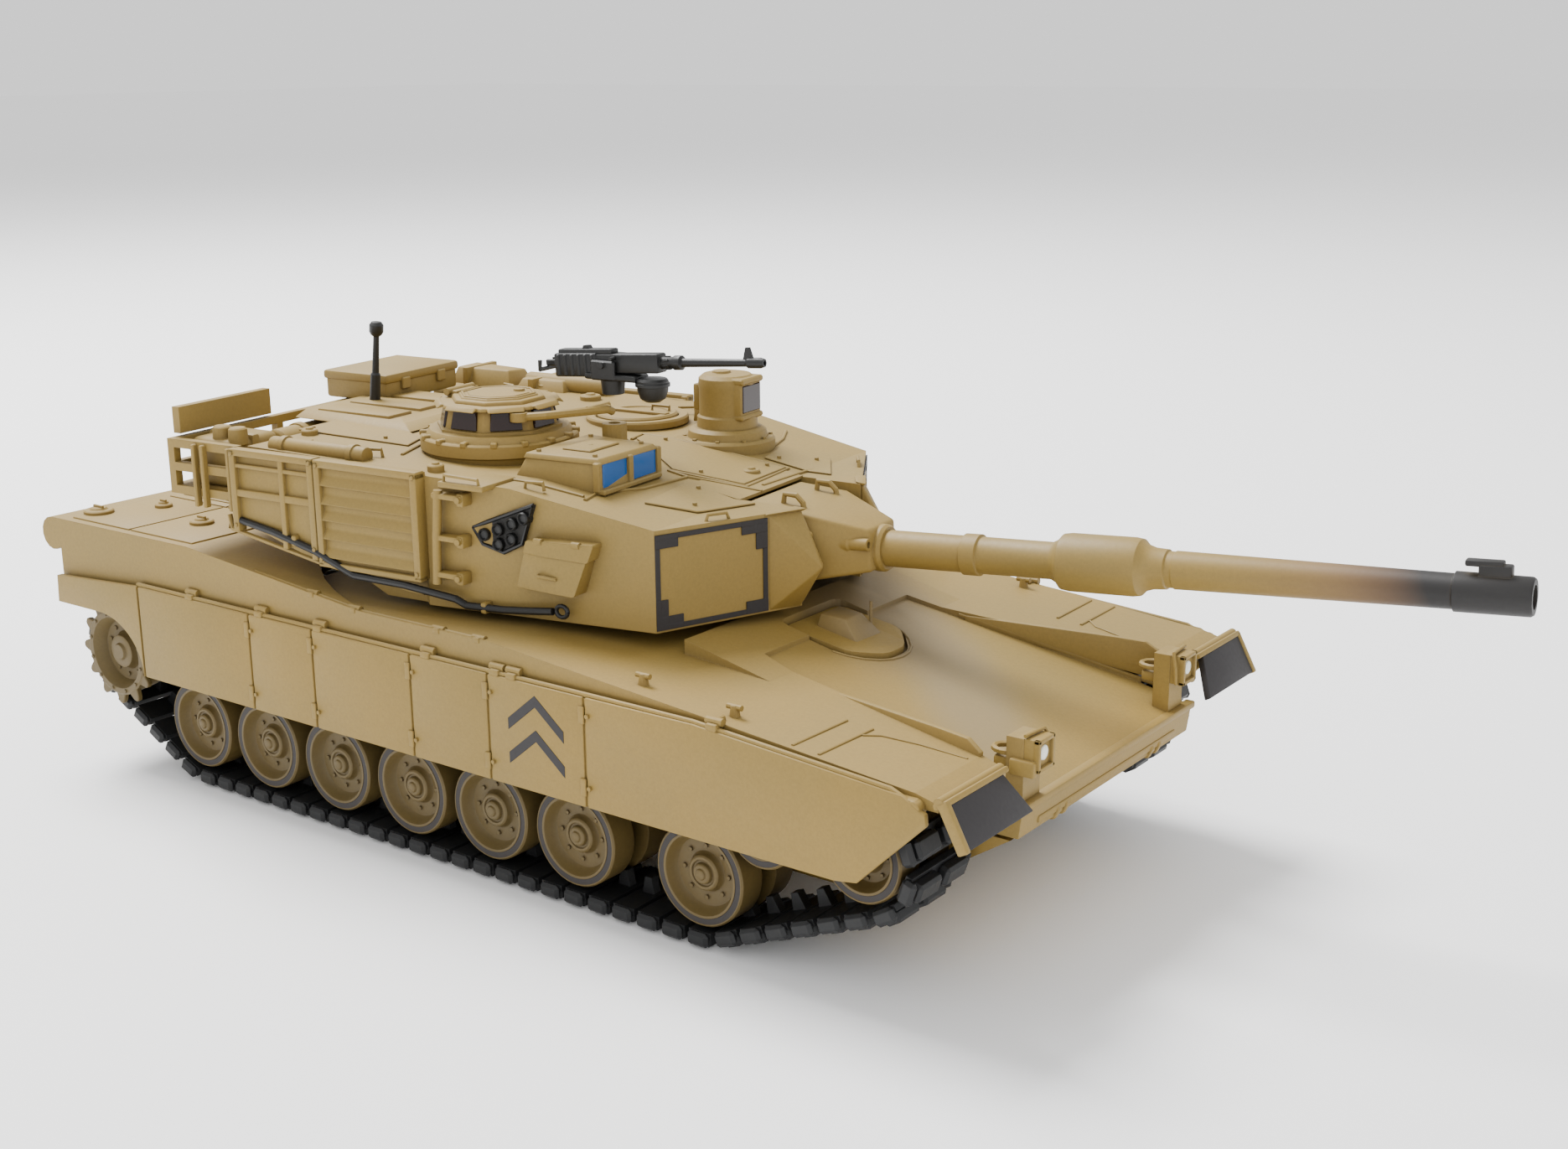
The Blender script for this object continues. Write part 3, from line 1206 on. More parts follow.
@dataclass
class TurretBody(Assembly):
    """What is fixed on the turret's shell: cheek frames, roof ridges, launchers, cable, racks."""

    cheek_corner: tuple[float, float] = (21.8, 18.7)
    cheek_inner: tuple[float, float] = (28.2, 5.6)
    low: float = 23.4
    high: float = 31.6

    def build(self) -> None:
        """Make every fixed detail of the turret."""
        for side in sides():
            self.build_cheek(side)
            self.build_louvre(side)
            self.build_launcher(side)
            self.build_cable(side)
            self.build_ladder(side)
        self.build_roof()
        self.build_bustle()
        self.build_rack()

    def cheek_place(self, side: Side) -> Matrix:
        """The plane of a cheek's face: X along it from its outer edge, Y out of it, Z up."""
        x, y = self.cheek_corner
        along = Vector((self.cheek_inner[0] - x, self.cheek_inner[1] - y, 0)).normalized()
        out = Vector((-along.y, along.x, 0))
        place = Matrix.Identity(4)
        for column, way in enumerate((along, out, Vector((0, 0, 1)), Vector((x, y, 0)))):
            for row in range(3):
                place[row][column] = way[row]
        return place

    def build_cheek(self, side: Side) -> None:
        """The dark frame on a cheek's slanted face and the wedge beside the gun.

        Args:
            side: the side.
        """
        mask = Shape()
        width, low, high = 11.1, self.low, self.high
        bars = [((0.0, low), (0.45, high)), ((width - 0.45, low), (width, high)),
                ((0.0, high - 0.42), (width, high)), ((0.0, low), (width, low + 0.42)),
                ((0.0, low), (2.6, low + 1.15)), ((0.0, low), (1.15, low + 2.6)),
                ((width - 2.6, high - 1.15), (width, high)),
                ((width - 1.15, high - 2.6), (width, high)),
                ((0.0, high - 1.15), (2.2, high)), ((width - 2.2, low), (width, low + 1.1))]
        for index, ((u0, z0), (u1, z1)) in enumerate(bars):
            mask.add(Shape.box((u0, 0.02, z0), (u1, 0.1 + 0.004 * index, z1)))
        place = self.cheek_place(side)
        bmesh.ops.transform(mask.mesh, matrix=place, verts=mask.mesh.verts)
        bmesh.ops.recalc_face_normals(mask.mesh, faces=mask.mesh.faces)
        self.yard.fit(f"cheek_mask_{side.label}", mask.on(side), PANEL_GREY, Spot.TURRET)
        nose = Shape.wrapped([(26.7, 8.6, 23.3), (26.7, 8.6, 31.8), (28.2, 5.6, 32.0),
                              (28.2, 5.6, 23.2), (30.9, 6.5, 27.2), (30.5, 5.65, 27.2)])
        for height in (29.6, 25.4):
            nose.add(Shape.disc(0.34, 5.2, 6.6, Axis.Y, 12).move((28.9, 0, height)))
        nose.add(Shape.wrapped([(26.0, 9.2, 31.5), (28.4, 5.5, 31.7), (27.0, 8.9, 31.95),
                                (28.9, 5.4, 32.0), (25.8, 8.6, 31.9), (27.6, 5.5, 32.1)]))
        self.yard.fit(f"cheek_nose_{side.label}", nose.bevel(0.12, 2, 40.0).on(side), SAND,
                      Spot.TURRET)
        lift = Shape.rod([(23.6, 13.6, 31.9), (23.7, 13.4, 32.5), (24.6, 11.9, 32.5),
                          (24.7, 11.7, 31.9)], 0.17, 6)
        self.yard.fit(f"cheek_loop_{side.label}", lift.on(side), SAND, Spot.TURRET)

    def raised(self, points: Sequence[Point], radius: float = 0.16) -> Shape:
        """A rod that follows the roof through (x, y) points."""
        line = []
        for (x0, y0), (x1, y1) in zip(points, points[1:]):
            steps = max(1, int(math.hypot(x1 - x0, y1 - y0) / 2))
            line += [(x0 + (x1 - x0) * k / steps, y0 + (y1 - y0) * k / steps)
                     for k in range(steps)]
        line.append(points[-1])
        return Shape.rod([(x, y, roof_height(x) + 0.06) for x, y in line], radius, 6)

    def build_roof(self) -> None:
        """Ridges, plates, caps, lifting eyes and bolts on the turret's roof."""
        ridges = Shape()
        for points in (((13.8, -17.2), (13.3, -14.6), (15.1, -10.4), (15.7, -4.1), (18.9, -2.8),
                        (22.1, -1.8)), ((15.7, -4.1), (13.5, -4.0)),
                       ((5.6, 1.8), (5.2, 4.2), (20.1, 6.4), (20.5, -1.9), (13.5, -4.0)),
                       ((21.2, -0.2), (21.5, 7.0), (21.9, 8.2)),
                       ((6.1, -17.6), (13.2, -16.5)), ((16.0, 9.5), (14.8, 14.5), (13.6, 17.2)),
                       ((-7.4, -15.8), (-9.2, -10.4), (-14.9, -7.1))):
            ridges.add(self.raised(points))
        self.yard.fit("roof_ridges", ridges, SAND, Spot.TURRET)
        plates = Shape()
        outlines = (
            [(5.9, 2.2), (5.6, 4.0), (19.9, 6.1), (20.1, -1.6), (13.7, -3.5)],
            [(-23.0, -12.6), (-23.0, -5.6), (-15.8, -6.6), (-10.4, -9.8), (-9.4, -12.6)],
            [(-22.6, 5.2), (-22.6, 12.6), (-12.0, 12.6), (-10.0, 9.5), (-12.0, 5.2)],
            [(17.0, 7.2), (15.9, 13.8), (21.2, 12.6), (24.2, 7.2)],
            [(17.4, -13.6), (16.6, -5.4), (24.2, -6.4), (21.6, -11.8)])
        for outline in outlines:
            loop = outline
            area = sum(x0 * y1 - x1 * y0 for (x0, y0), (x1, y1) in zip(loop, loop[1:] + loop[:1]))
            if area < 0:
                loop = loop[::-1]
            sheet = Shape.plate(loop, 0.02, 0.2, Axis.Z)
            plates.add(sheet.drape())
        self.yard.fit("roof_plates", plates.bevel(0.06, 1, 40.0), SAND, Spot.TURRET)
        cover = Shape.plate([(16.9, -5.6), (22.1, -5.6), (22.1, 5.6), (16.9, 5.6)], -0.22, 0.08,
                            Axis.Z).drape()
        self.yard.fit("gun_cover", cover, SAND, Spot.TURRET)
        caps = Shape()
        for x, y, radius, height in (
                (-21.0, -4.4, 0.9, 0.5), (-20.5, 4.6, 0.9, 0.5), (-0.8, -19.0, 0.75, 0.6),
                (-16.6, -17.8, 0.8, 0.6), (-20.9, -13.3, 0.8, 0.5), (-16.6, 17.8, 0.8, 0.6),
                (-9.0, 15.6, 1.1, 0.5), (4.6, 17.4, 0.9, 0.5), (18.6, 2.2, 0.8, 0.4)):
            cap = Shape.turned([(-0.3, 0), (-0.3, radius), (height - 0.12, radius),
                                (height, radius - 0.12), (height, radius * 0.5),
                                (height + 0.18, radius * 0.4), (height + 0.18, 0)], 20)
            caps.add(cap.move((x, y, roof_height(x))))
        for x, y, turn in ((-9.2, -17.6, 20.0), (-19.0, 14.8, -15.0), (9.6, -18.6, 12.0),
                           (3.2, 15.2, 35.0), (-3.4, 18.4, 0.0)):
            eye = Shape.rod([(-0.9, 0, 0), (-0.8, 0, 0.7), (0.8, 0, 0.7), (0.9, 0, 0)], 0.17, 6)
            caps.add(eye.turn(turn, Axis.Z).move((x, y, roof_height(x))))
        bolt = Shape.disc(0.2, 0.0, 0.32, Axis.Z, 6)
        spots = [(20.6, 10.9), (18.1, 8.1), (20.6, -10.6), (18.3, -6.4), (-13.0, -11.6),
                 (-21.8, -11.8), (-21.8, 6.2), (-13.0, 6.2), (-21.8, 11.8), (15.9, -2.2),
                 (8.4, 3.4), (18.6, 5.0)]
        caps.add(bolt.copies([Matrix.Translation((x, y, roof_height(x) + 0.1))
                              for x, y in spots]))
        self.yard.fit("roof_caps", caps, SAND, Spot.TURRET)

    def build_louvre(self, side: Side) -> None:
        """The slatted box and the framed panel on the bustle's side.

        Args:
            side: the side.
        """
        face, name = 22.2, side.label
        core = Shape.box((-22.4, 20.6, 25.9), (-0.5, face - 0.5, 34.9)).bevel(0.15)
        core.slice((-12.4, 0, 25.6), (-0.3, 0, -1.0))
        for low, high in (((-12.3, 21.2, 25.6), (-11.6, face, 35.2)),
                          ((-1.2, 20.8, 25.6), (-0.44, face, 35.2)),
                          ((-12.3, 21.0, 34.6), (-0.44, face, 35.3)),
                          ((-12.3, 21.2, 25.5), (-0.44, face, 26.0))):
            core.add(Shape.box(low, high).bevel(0.12))
        for height in (32.9, 31.2, 29.7, 28.0, 26.3):
            slat = Shape.wrapped([(-11.7, face - 0.75, height + 1.45), (-1.1, face - 0.75,
                                  height + 1.45), (-11.7, face - 0.05, height + 0.1),
                                  (-1.1, face - 0.05, height + 0.1), (-11.7, face - 0.75, height),
                                  (-1.1, face - 0.75, height)])
            core.add(slat.bevel(0.06, 1, 40.0))
        for low, high in (((-22.6, 21.2, 27.6), (-21.9, face, 35.3)),
                          ((-13.1, 21.2, 26.0), (-12.4, face, 35.3)),
                          ((-22.6, 21.1, 34.7), (-12.4, face, 35.35)),
                          ((-22.5, 21.2, 30.9), (-12.4, face - 0.08, 31.6)),
                          ((-22.5, 21.2, 33.6), (-12.4, face - 0.1, 34.0)),
                          ((-16.6, 21.2, 26.6), (-16.0, face - 0.04, 35.2))):
            core.add(Shape.box(low, high).bevel(0.1))
        bolt = Shape.disc(0.2, face - 0.1, face + 0.14, Axis.Y, 6)
        core.add(bolt.copies([Matrix.Translation((x, 0, z)) for x, z in (
            (-22.2, 34.9), (-22.2, 28.2), (-12.7, 34.9), (-12.7, 27.0), (-0.8, 34.8), (-0.8, 26.2),
            (-11.9, 34.8), (-11.9, 26.2))]))
        self.yard.fit(f"side_louvre_{name}", core.on(side), SAND, Spot.TURRET,
                      replaces=[f"stowage_{name}"])

    def build_launcher(self, side: Side) -> None:
        """The smoke grenade launchers in their dark triangle, and the hinged box ahead of them.

        Args:
            side: the side.
        """
        face = 20.2
        outline = [(4.2, 30.7), (5.2, 29.3), (7.4, 28.8), (9.4, 29.8), (10.7, 33.3)]
        back = Shape.plate(outline, face - 1.0, face + 0.1).bevel(0.08, 1, 50.0)
        self.yard.fit(f"launcher_back_{side.label}", back.on(side), UNDERSIDE, Spot.TURRET)
        rim = Shape.rod([(x, face + 0.15, z) for x, z in outline + outline[:1]], 0.2, 6)
        tube = Shape.turned([(-0.4, 0), (-0.4, 0.56), (0.42, 0.56), (0.55, 0.46), (0.42, 0.36),
                             (0.3, 0.34), (0.3, 0)], 16, Axis.Y)
        rim.add(tube.copies([Matrix.Translation((x, face + 0.1, z)) for x, z in (
            (5.5, 30.2), (7.0, 30.8), (8.5, 31.45), (9.8, 32.1), (7.0, 29.5), (8.4, 30.1))]))
        self.yard.fit(f"launcher_tubes_{side.label}", rim.on(side), GUN_BLACK, Spot.TURRET)
        box = Shape.plate([(9.3, 26.2), (10.5, 30.2), (16.6, 30.3), (15.2, 26.0)], 18.6, 21.4)
        box.bevel(0.2, 2, 40.0)
        box.slice((12.0, 21.3, 28.0), (0.12, 0.99, 0.12))
        lid = Shape.plate([(10.1, 29.3), (10.5, 30.45), (16.9, 30.55), (16.4, 29.0)], 18.6, 21.4)
        box.add(lid.bevel(0.12, 1, 40.0).slice((12.0, 21.42, 28.0), (0.12, 0.99, 0.12)))
        box.add(Shape.rod([(11.8, 21.35, 27.6), (11.9, 21.8, 27.6), (13.5, 21.3, 27.4),
                           (13.4, 20.85, 27.4)], 0.15, 6))
        box.add(Shape.disc(0.3, 11.2, 12.0, Axis.X, 8).move((0, 21.0, 30.4)),
                Shape.disc(0.3, 14.8, 15.6, Axis.X, 8).move((0, 20.6, 30.4)))
        self.yard.fit(f"cheek_box_{side.label}", box.on(side), SAND, Spot.TURRET)

    def build_cable(self, side: Side) -> None:
        """The moulded tow cable along the turret's lower edge, with its eyes and clips.

        Args:
            side: the side.
        """
        line = [(12.7, 20.8, 24.4), (10.1, 20.85, 24.1), (7.5, 20.9, 23.85), (3.7, 21.2, 23.8),
                (3.0, 21.7, 24.4), (-2.5, 22.0, 25.0), (-8.3, 22.0, 25.1), (-12.8, 22.0, 26.8),
                (-17.8, 22.0, 28.0), (-22.6, 21.8, 28.7)]
        cable = Shape.rod(line, 0.34, 10)
        eye = [(13.5 + 0.6 * math.cos(math.radians(turn)), 20.6,
                24.45 + 0.5 * math.sin(math.radians(turn))) for turn in range(0, 361, 30)]
        cable.add(Shape.rod(eye, 0.2, 8))
        self.yard.fit(f"tow_cable_{side.label}", cable.on(side), GUN_BLACK, Spot.TURRET)
        clips = Shape.rod([(-0.5, 21.7, 24.5), (-2.2, 21.7, 24.6), (-12.5, 21.7, 25.7),
                           (-23.3, 21.6, 27.6), (-23.7, 21.5, 28.9)], 0.24, 6)
        for x, y, z in ((5.6, 20.9, 23.8), (-15.2, 21.8, 27.5)):
            clips.add(Shape.box((x - 0.3, y - 0.6, z - 0.5), (x + 0.3, y + 0.45, z + 0.5))
                      .bevel(0.16))
        self.yard.fit(f"cable_clips_{side.label}", clips.on(side), SAND, Spot.TURRET)

    def build_ladder(self, side: Side) -> None:
        """The round bracket with its three lugs between the cheek and the louvres.

        Args:
            side: the side.
        """
        post = Shape.rod([(1.5, 21.6, 33.9), (1.2, 21.7, 29.7), (0.9, 21.6, 25.5)], 0.4, 12)
        for x, z in ((4.0, 33.4), (3.8, 29.7), (3.6, 26.4)):
            lug = Shape.box((0.9, 20.3, z - 0.26), (x + 0.2, 21.9, z + 0.26)).bevel(0.12, 2)
            post.add(lug, Shape.box((x - 0.5, 20.2, z - 0.75), (x + 0.3, 21.75, z + 0.4))
                     .bevel(0.2, 2),
                     Shape.disc(0.3, 21.6, 22.1, Axis.Y, 10).move((x - 0.1, 0, z - 0.1)))
        post.add(Shape.box((1.7, 17.2, 34.2), (6.6, 21.9, 34.75)).bevel(0.15))
        post.add(Shape.rod([(2.2, 21.6, 34.7), (2.3, 21.6, 35.3), (5.9, 21.6, 35.2),
                            (6.0, 21.6, 34.6)], 0.15, 6))
        self.yard.fit(f"side_bracket_{side.label}", post.on(side), SAND, Spot.TURRET)

    def build_bustle(self) -> None:
        """The raised middle of the bustle roof and the faceted stowage at its rear corners."""
        top = roof_height(-20.0)
        hump = Shape.wrapped([(-13.0, -8.2, top), (-13.5, 8.2, top), (-28.6, -7.4, top),
                              (-28.6, 7.4, top), (-14.6, -7.0, top + 0.62),
                              (-15.0, 7.0, top + 0.62), (-28.0, -6.2, top + 0.8),
                              (-28.0, 6.2, top + 0.8)])
        hump.bevel(0.16, 2, 30.0)
        for y in (-4.6, 0.0, 4.6):
            hump.add(Shape.box((-26.4, y - 1.7, top + 0.5), (-17.2, y + 1.7, top + 0.95))
                     .bevel(0.12))
        self.yard.fit("bustle_hump", hump, SAND, Spot.TURRET)
        blocks = Shape()
        for x0, x1, high in ((-28.6, -20.6, 36.9), (-19.8, -13.4, 36.3)):
            block = Shape.wrapped([(x0, 16.6, 35.0), (x1, 16.8, 35.0), (x0, 21.4, 35.0),
                                   (x1, 21.3, 35.0), (x0 + 0.6, 17.4, high), (x1 - 0.6, 17.6, high),
                                   (x0 + 0.6, 20.7, high), (x1 - 0.6, 20.6, high - 0.2)])
            blocks.add(block.bevel(0.18, 2, 30.0))
            blocks.add(Shape.box((x0 + 2.0, 16.4, 35.2), (x0 + 2.7, 21.6, high + 0.12)).bevel(0.1))
        blocks.add(Shape.disc(1.05, -19.4, -9.0, Axis.X, 20).bevel(0.16, 2, 50.0)
                   .move((0, 18.9, 35.7)))
        self.yard.fit("bustle_blocks_left", blocks, SAND, Spot.TURRET)
        tube = Shape.disc(0.8, -20.0, -8.6, Axis.X, 20).bevel(0.14, 2, 50.0)
        tube.move((0, -19.0, 35.4))
        for x in (-18.4, -10.2):
            tube.add(Shape.turned([(x - 0.3, 0.6), (x - 0.3, 0.95), (x + 0.3, 0.95),
                                   (x + 0.3, 0.6)], 20, Axis.X).move((0, -19.0, 35.4)))
        self.yard.fit("bustle_tube_right", tube, SAND, Spot.TURRET)

    def build_rack(self) -> None:
        """Straps, a rolled sheet and small stowage on the rear rack."""
        roll = Shape.turned([(-11.4, 0), (-11.4, 1.35), (-11.1, 1.6), (11.1, 1.6), (11.4, 1.35),
                             (11.4, 0)], 24, Axis.Y).move((-27.4, 0, 33.2))
        for y in (-8.0, -2.6, 2.6, 8.0):
            roll.add(Shape.turned([(y - 0.4, 1.4), (y - 0.4, 1.78), (y + 0.4, 1.78),
                                   (y + 0.4, 1.4)], 24, Axis.Y).move((-27.4, 0, 33.2)))
        self.yard.fit("rack_roll", roll.bevel(0.08, 1, 50.0), SAND, Spot.TURRET)
        box = Shape.box((-33.1, 2.2, 35.5), (-24.9, 13.4, 37.9)).bevel(0.3, 2)
        box.add(Shape.box((-33.3, 2.0, 37.4), (-24.7, 13.6, 38.35)).bevel(0.3, 2),
                Shape.box((-24.9, 4.4, 36.6), (-24.5, 5.6, 37.8)).bevel(0.1, 1),
                Shape.box((-24.9, 10.0, 36.6), (-24.5, 11.2, 37.8)).bevel(0.1, 1))
        self.yard.fit("rear_box_case", box, SAND, Spot.TURRET, replaces=["rear_box"])
        packs = Shape.box((-29.6, -20.3, 30.9), (-24.2, -13.8, 35.5)).bevel(0.8, 3)
        packs.add(Shape.box((-29.8, -17.6, 31.0), (-24.0, -16.6, 35.7)).bevel(0.3, 2))
        for x in (-26.4, -24.4):
            packs.add(Shape.disc(0.95, 34.9, 36.6, Axis.Z, 16, 0.85).bevel(0.15, 1, 50.0)
                      .move((x, -19.0, 0)))
        packs.add(Shape.box((-29.4, 14.2, 30.9), (-24.4, 20.2, 35.2)).bevel(0.8, 3))
        self.yard.fit("rack_packs", packs, SAND, Spot.TURRET)
        posts = Shape()
        for side in (-1, 1):
            for x in (-27.4, -26.3, -23.0):
                posts.add(Shape.box((x - 0.22, side * 21.7 - 0.35, 29.3),
                                    (x + 0.22, side * 21.7 + 0.35, 35.2)).bevel(0.1, 1))
        self.yard.fit("rack_posts", posts, SAND, Spot.TURRET)


@dataclass
class RoofStations(Assembly):
    """The commander's cupola, the loader's hatch, the sights and the leaning mast."""

    cupola: tuple[float, float] = (-1.9, -8.5)
    sight: tuple[float, float] = (11.6, 9.4)
    mast: tuple[float, float] = (-25.0, 0.2)

    def build(self) -> None:
        """Make every station."""
        self.build_cupola()
        self.build_hatches()
        self.build_gunner_sight()
        self.build_panoramic_sight()
        self.build_mast()

    def eight(self, radius: float, low: float, high: float, top: float | None = None) -> Shape:
        """An eight-sided block about Z, with flats facing forward."""
        shape = Shape.disc(radius, low, high, Axis.Z, 8, top)
        return shape.turn(22.5, Axis.Z)

    def build_cupola(self) -> None:
        """The cupola's stepped base, its eight windows and the ring above them."""
        x, y = self.cupola
        floor = 35.15
        base = Shape.turned([(-1.0, 0), (-1.0, 6.6), (0, 7.0), (0.15, 7.25), (1.2, 7.25),
                             (1.35, 7.1), (1.35, 6.7),
                             (1.62, 6.6), (1.95, 6.35), (1.95, 0)], 48)
        notch = Shape.box((-0.3, 6.5, 1.1), (0.3, 7.32, 1.62)).bevel(0.1, 1)
        base.add(notch.copies(ring_of(16, 0.0, Axis.Z, 11.25)))
        base.add(self.eight(5.9, 1.9, 2.2), self.eight(5.5, 2.1, 4.2, 5.0).bevel(0.12))
        base.add(self.eight(5.7, 4.05, 4.4, 5.5).bevel(0.12))
        hood = Shape.wrapped([(4.6, -1.75, 4.3), (4.6, 1.75, 4.3), (5.8, -1.65, 4.0),
                              (5.8, 1.65, 4.0), (5.4, -1.6, 4.45), (5.4, 1.6, 4.45)])
        base.add(hood.bevel(0.08, 1).copies(ring_of(8, 0.0)))
        base.move((x, y, floor))
        self.yard.fit("cupola_base", base, SAND, Spot.TURRET, replaces=["cupola"])
        pane = Shape.wrapped([(4.9, -1.45, 2.3), (5.26, -1.45, 2.3), (4.9, 1.45, 2.3),
                              (5.26, 1.45, 2.3), (4.5, -1.3, 3.95), (4.92, -1.3, 3.95),
                              (4.5, 1.3, 3.95), (4.92, 1.3, 3.95)])
        panes = pane.bevel(0.06, 1).copies(ring_of(8, 0.0)).move((x, y, floor))
        self.yard.fit("cupola_windows", panes, PANE_MAROON, Spot.TURRET)
        lid = self.eight(4.5, 4.35, 4.75, 4.3).bevel(0.12)
        lid.add(self.eight(3.8, 4.7, 4.9, 3.7).bevel(0.07, 1), self.eight(3.0, 4.85, 5.0, 2.9))
        rim = [(3.4 * math.cos(math.radians(22.5 + 45 * k)),
                3.4 * math.sin(math.radians(22.5 + 45 * k)), 4.9) for k in range(9)]
        lid.add(Shape.rod(rim, 0.14, 6))
        lid.add(Shape.box((-4.9, -1.5, 4.3), (-3.6, 1.5, 5.0)).bevel(0.2),
                Shape.disc(0.34, -1.9, 1.9, Axis.Y, 12).move((-4.5, 0, 4.9)),
                Shape.disc(0.6, 4.8, 5.2, Axis.Z, 16, 0.5).move((1.4, 1.3, 0)))
        lid.move((x, y, floor))
        self.yard.fit("cupola_lid", lid, SAND, Spot.TURRET, replaces=["cupola_hatch"])
        bracket = Shape.rod([(x + 4.4, y - 3.0, 38.6), (x + 7.0, y - 2.2, 38.9),
                             (8.2, -5.6, 38.9), (8.2, -4.9, 38.6)], 0.38, 8)
        bracket.add(Shape.disc(0.8, 38.3, 39.1, Axis.Z, 16).move((x + 4.6, y - 3.0, 0)))
        self.yard.fit("gun_arm", bracket, SAND, Spot.TURRET)

    def build_hatches(self) -> None:
        """The loader's ring with its raised rib and periscopes."""
        ring = Shape.turned([(0, 4.1), (0, 5.1), (0.55, 5.1), (0.75, 4.95), (0.75, 4.3),
                             (0.6, 4.1)], 40)
        lid = Shape.turned([(0, 0), (0, 4.0), (0.8, 4.0), (1.0, 3.8), (1.0, 3.0), (0.85, 2.9),
                            (0.85, 0)], 40)
        lid.add(ring, Shape.box((-3.6, -0.4, 0.8), (3.6, 0.4, 1.15)).bevel(0.12))
        lid.add(Shape.rod([(0.8, 1.4, 0.8), (0.8, 1.5, 1.45), (2.8, 1.5, 1.45), (2.8, 1.4, 0.8)],
                          0.16, 6))
        lid.add(Shape.box((-5.3, -1.4, 0.2), (-4.0, 1.4, 1.1)).bevel(0.2),
                Shape.disc(0.34, -1.8, 1.8, Axis.Y, 10).move((-4.8, 0, 1.0)))
        scope = Shape.wrapped([(-0.7, -0.9, 0), (0.7, -0.9, 0), (-0.7, 0.9, 0), (0.7, 0.9, 0),
                               (-0.55, -0.8, 1.3), (0.4, -0.8, 1.3), (-0.55, 0.8, 1.3),
                               (0.4, 0.8, 1.3)]).bevel(0.12)
        lid.add(scope.turn(20, Axis.Z).move((5.6, 3.1, 0.1)))
        lid.move((1.0, 9.6, 34.65))
        self.yard.fit("loader_ring", lid, SAND, Spot.TURRET, replaces=["loader_hatch"])

    def build_gunner_sight(self) -> None:
        """The gunner's sight: a tapered box with a hooded face and two blue windows."""
        base = [(5.4, -15.9), (14.0, -14.9), (14.2, -6.2), (5.4, -5.3)]
        top = [(6.2, -15.2), (13.3, -14.7), (13.7, -6.8), (6.3, -5.9)]
        case = Shape.wrapped([(px, py, roof_height(px) - 0.2) for px, py in base]
                             + [(px, py, 36.15) for px, py in top]).bevel(0.16, 2)
        case.add(Shape.wrapped([(6.0, -15.4, 36.0), (13.9, -14.9, 36.0), (14.2, -6.5, 36.0),
                                (6.0, -5.7, 36.0), (6.2, -15.2, 36.5), (13.5, -14.7, 36.5),
                                (13.9, -6.8, 36.5), (6.2, -5.9, 36.5)]).bevel(0.1, 2))
        for x, y in ((13.8, -14.9), (14.1, -10.6), (14.2, -6.4)):
            case.add(Shape.box((x - 0.6, y - 0.3, 33.6), (x + 0.1, y + 0.3, 36.2)).bevel(0.1, 1))
        case.add(Shape.box((13.2, -15.1, 33.4), (14.4, -6.2, 33.9)).bevel(0.12, 1))
        bolt = Shape.disc(0.22, 36.4, 36.72, Axis.Z, 6)
        case.add(bolt.copies([Matrix.Translation(spot) for spot in (
            (7.0, -14.4, 0), (12.7, -14.0, 0), (13.0, -7.4, 0), (7.1, -6.8, 0), (9.8, -10.6, 0))]))
        case.add(Shape.box((8.3, -12.8, 36.45), (11.4, -8.4, 36.7)).bevel(0.1, 1))
        self.yard.fit("gunner_sight_case", case, SAND, Spot.TURRET, replaces=["gunner_sight"])
        panes = Shape()
        for low, high in ((-14.5, -10.9), (-10.3, -6.7)):
            shift = (low + 14.5) * 0.045
            panes.add(Shape.box((13.2 + shift, low, 33.9), (13.86 + shift, high, 36.05))
                      .bevel(0.06, 1))
        self.yard.fit("gunner_sight_panes", panes, PANE_BLUE, Spot.TURRET)

    def build_panoramic_sight(self) -> None:
        """The panoramic sight: stepped foot, drum, hooded head and window."""
        x, y = self.sight
        foot = Shape.turned([(32.6, 0), (32.6, 4.6), (34.0, 4.6), (34.25, 4.4), (34.25, 3.9),
                             (34.9, 3.75), (35.2, 3.3), (35.2, 2.95), (36.2, 2.9), (36.4, 2.7),
                             (38.9, 2.7), (39.2, 2.78), (39.9, 2.72), (40.25, 2.3), (40.3, 0)], 40)
        bolt = Shape.disc(0.22, 34.0, 34.42, Axis.Z, 6)
        foot.add(bolt.copies(ring_of(10, 4.15)))
        head = Shape.box((-0.4, -1.9, 36.3), (2.7, 1.9, 40.0)).bevel(0.3, 2)
        head.add(Shape.box((1.2, -1.95, 39.5), (2.95, 1.95, 40.1)).bevel(0.16, 1),
                 Shape.box((1.6, -1.95, 36.1), (2.9, 1.95, 36.6)).bevel(0.14, 1),
                 Shape.disc(1.0, 40.1, 40.5, Axis.Z, 20, 0.85).move((-0.6, 0, 0)),
                 Shape.box((-3.2, -1.1, 36.6), (-2.2, 1.1, 39.2)).bevel(0.2, 2))
        foot.add(head)
        foot.move((x, y, 0))
        self.yard.fit("panoramic_sight_case", foot, SAND, Spot.TURRET,
                      replaces=["panoramic_sight"])
        pane = Shape.box((x + 2.4, y - 1.6, 36.8), (x + 2.8, y + 1.6, 39.4)).bevel(0.08, 1)
        self.yard.fit("panoramic_sight_pane", pane, PANE_MAROON, Spot.TURRET)

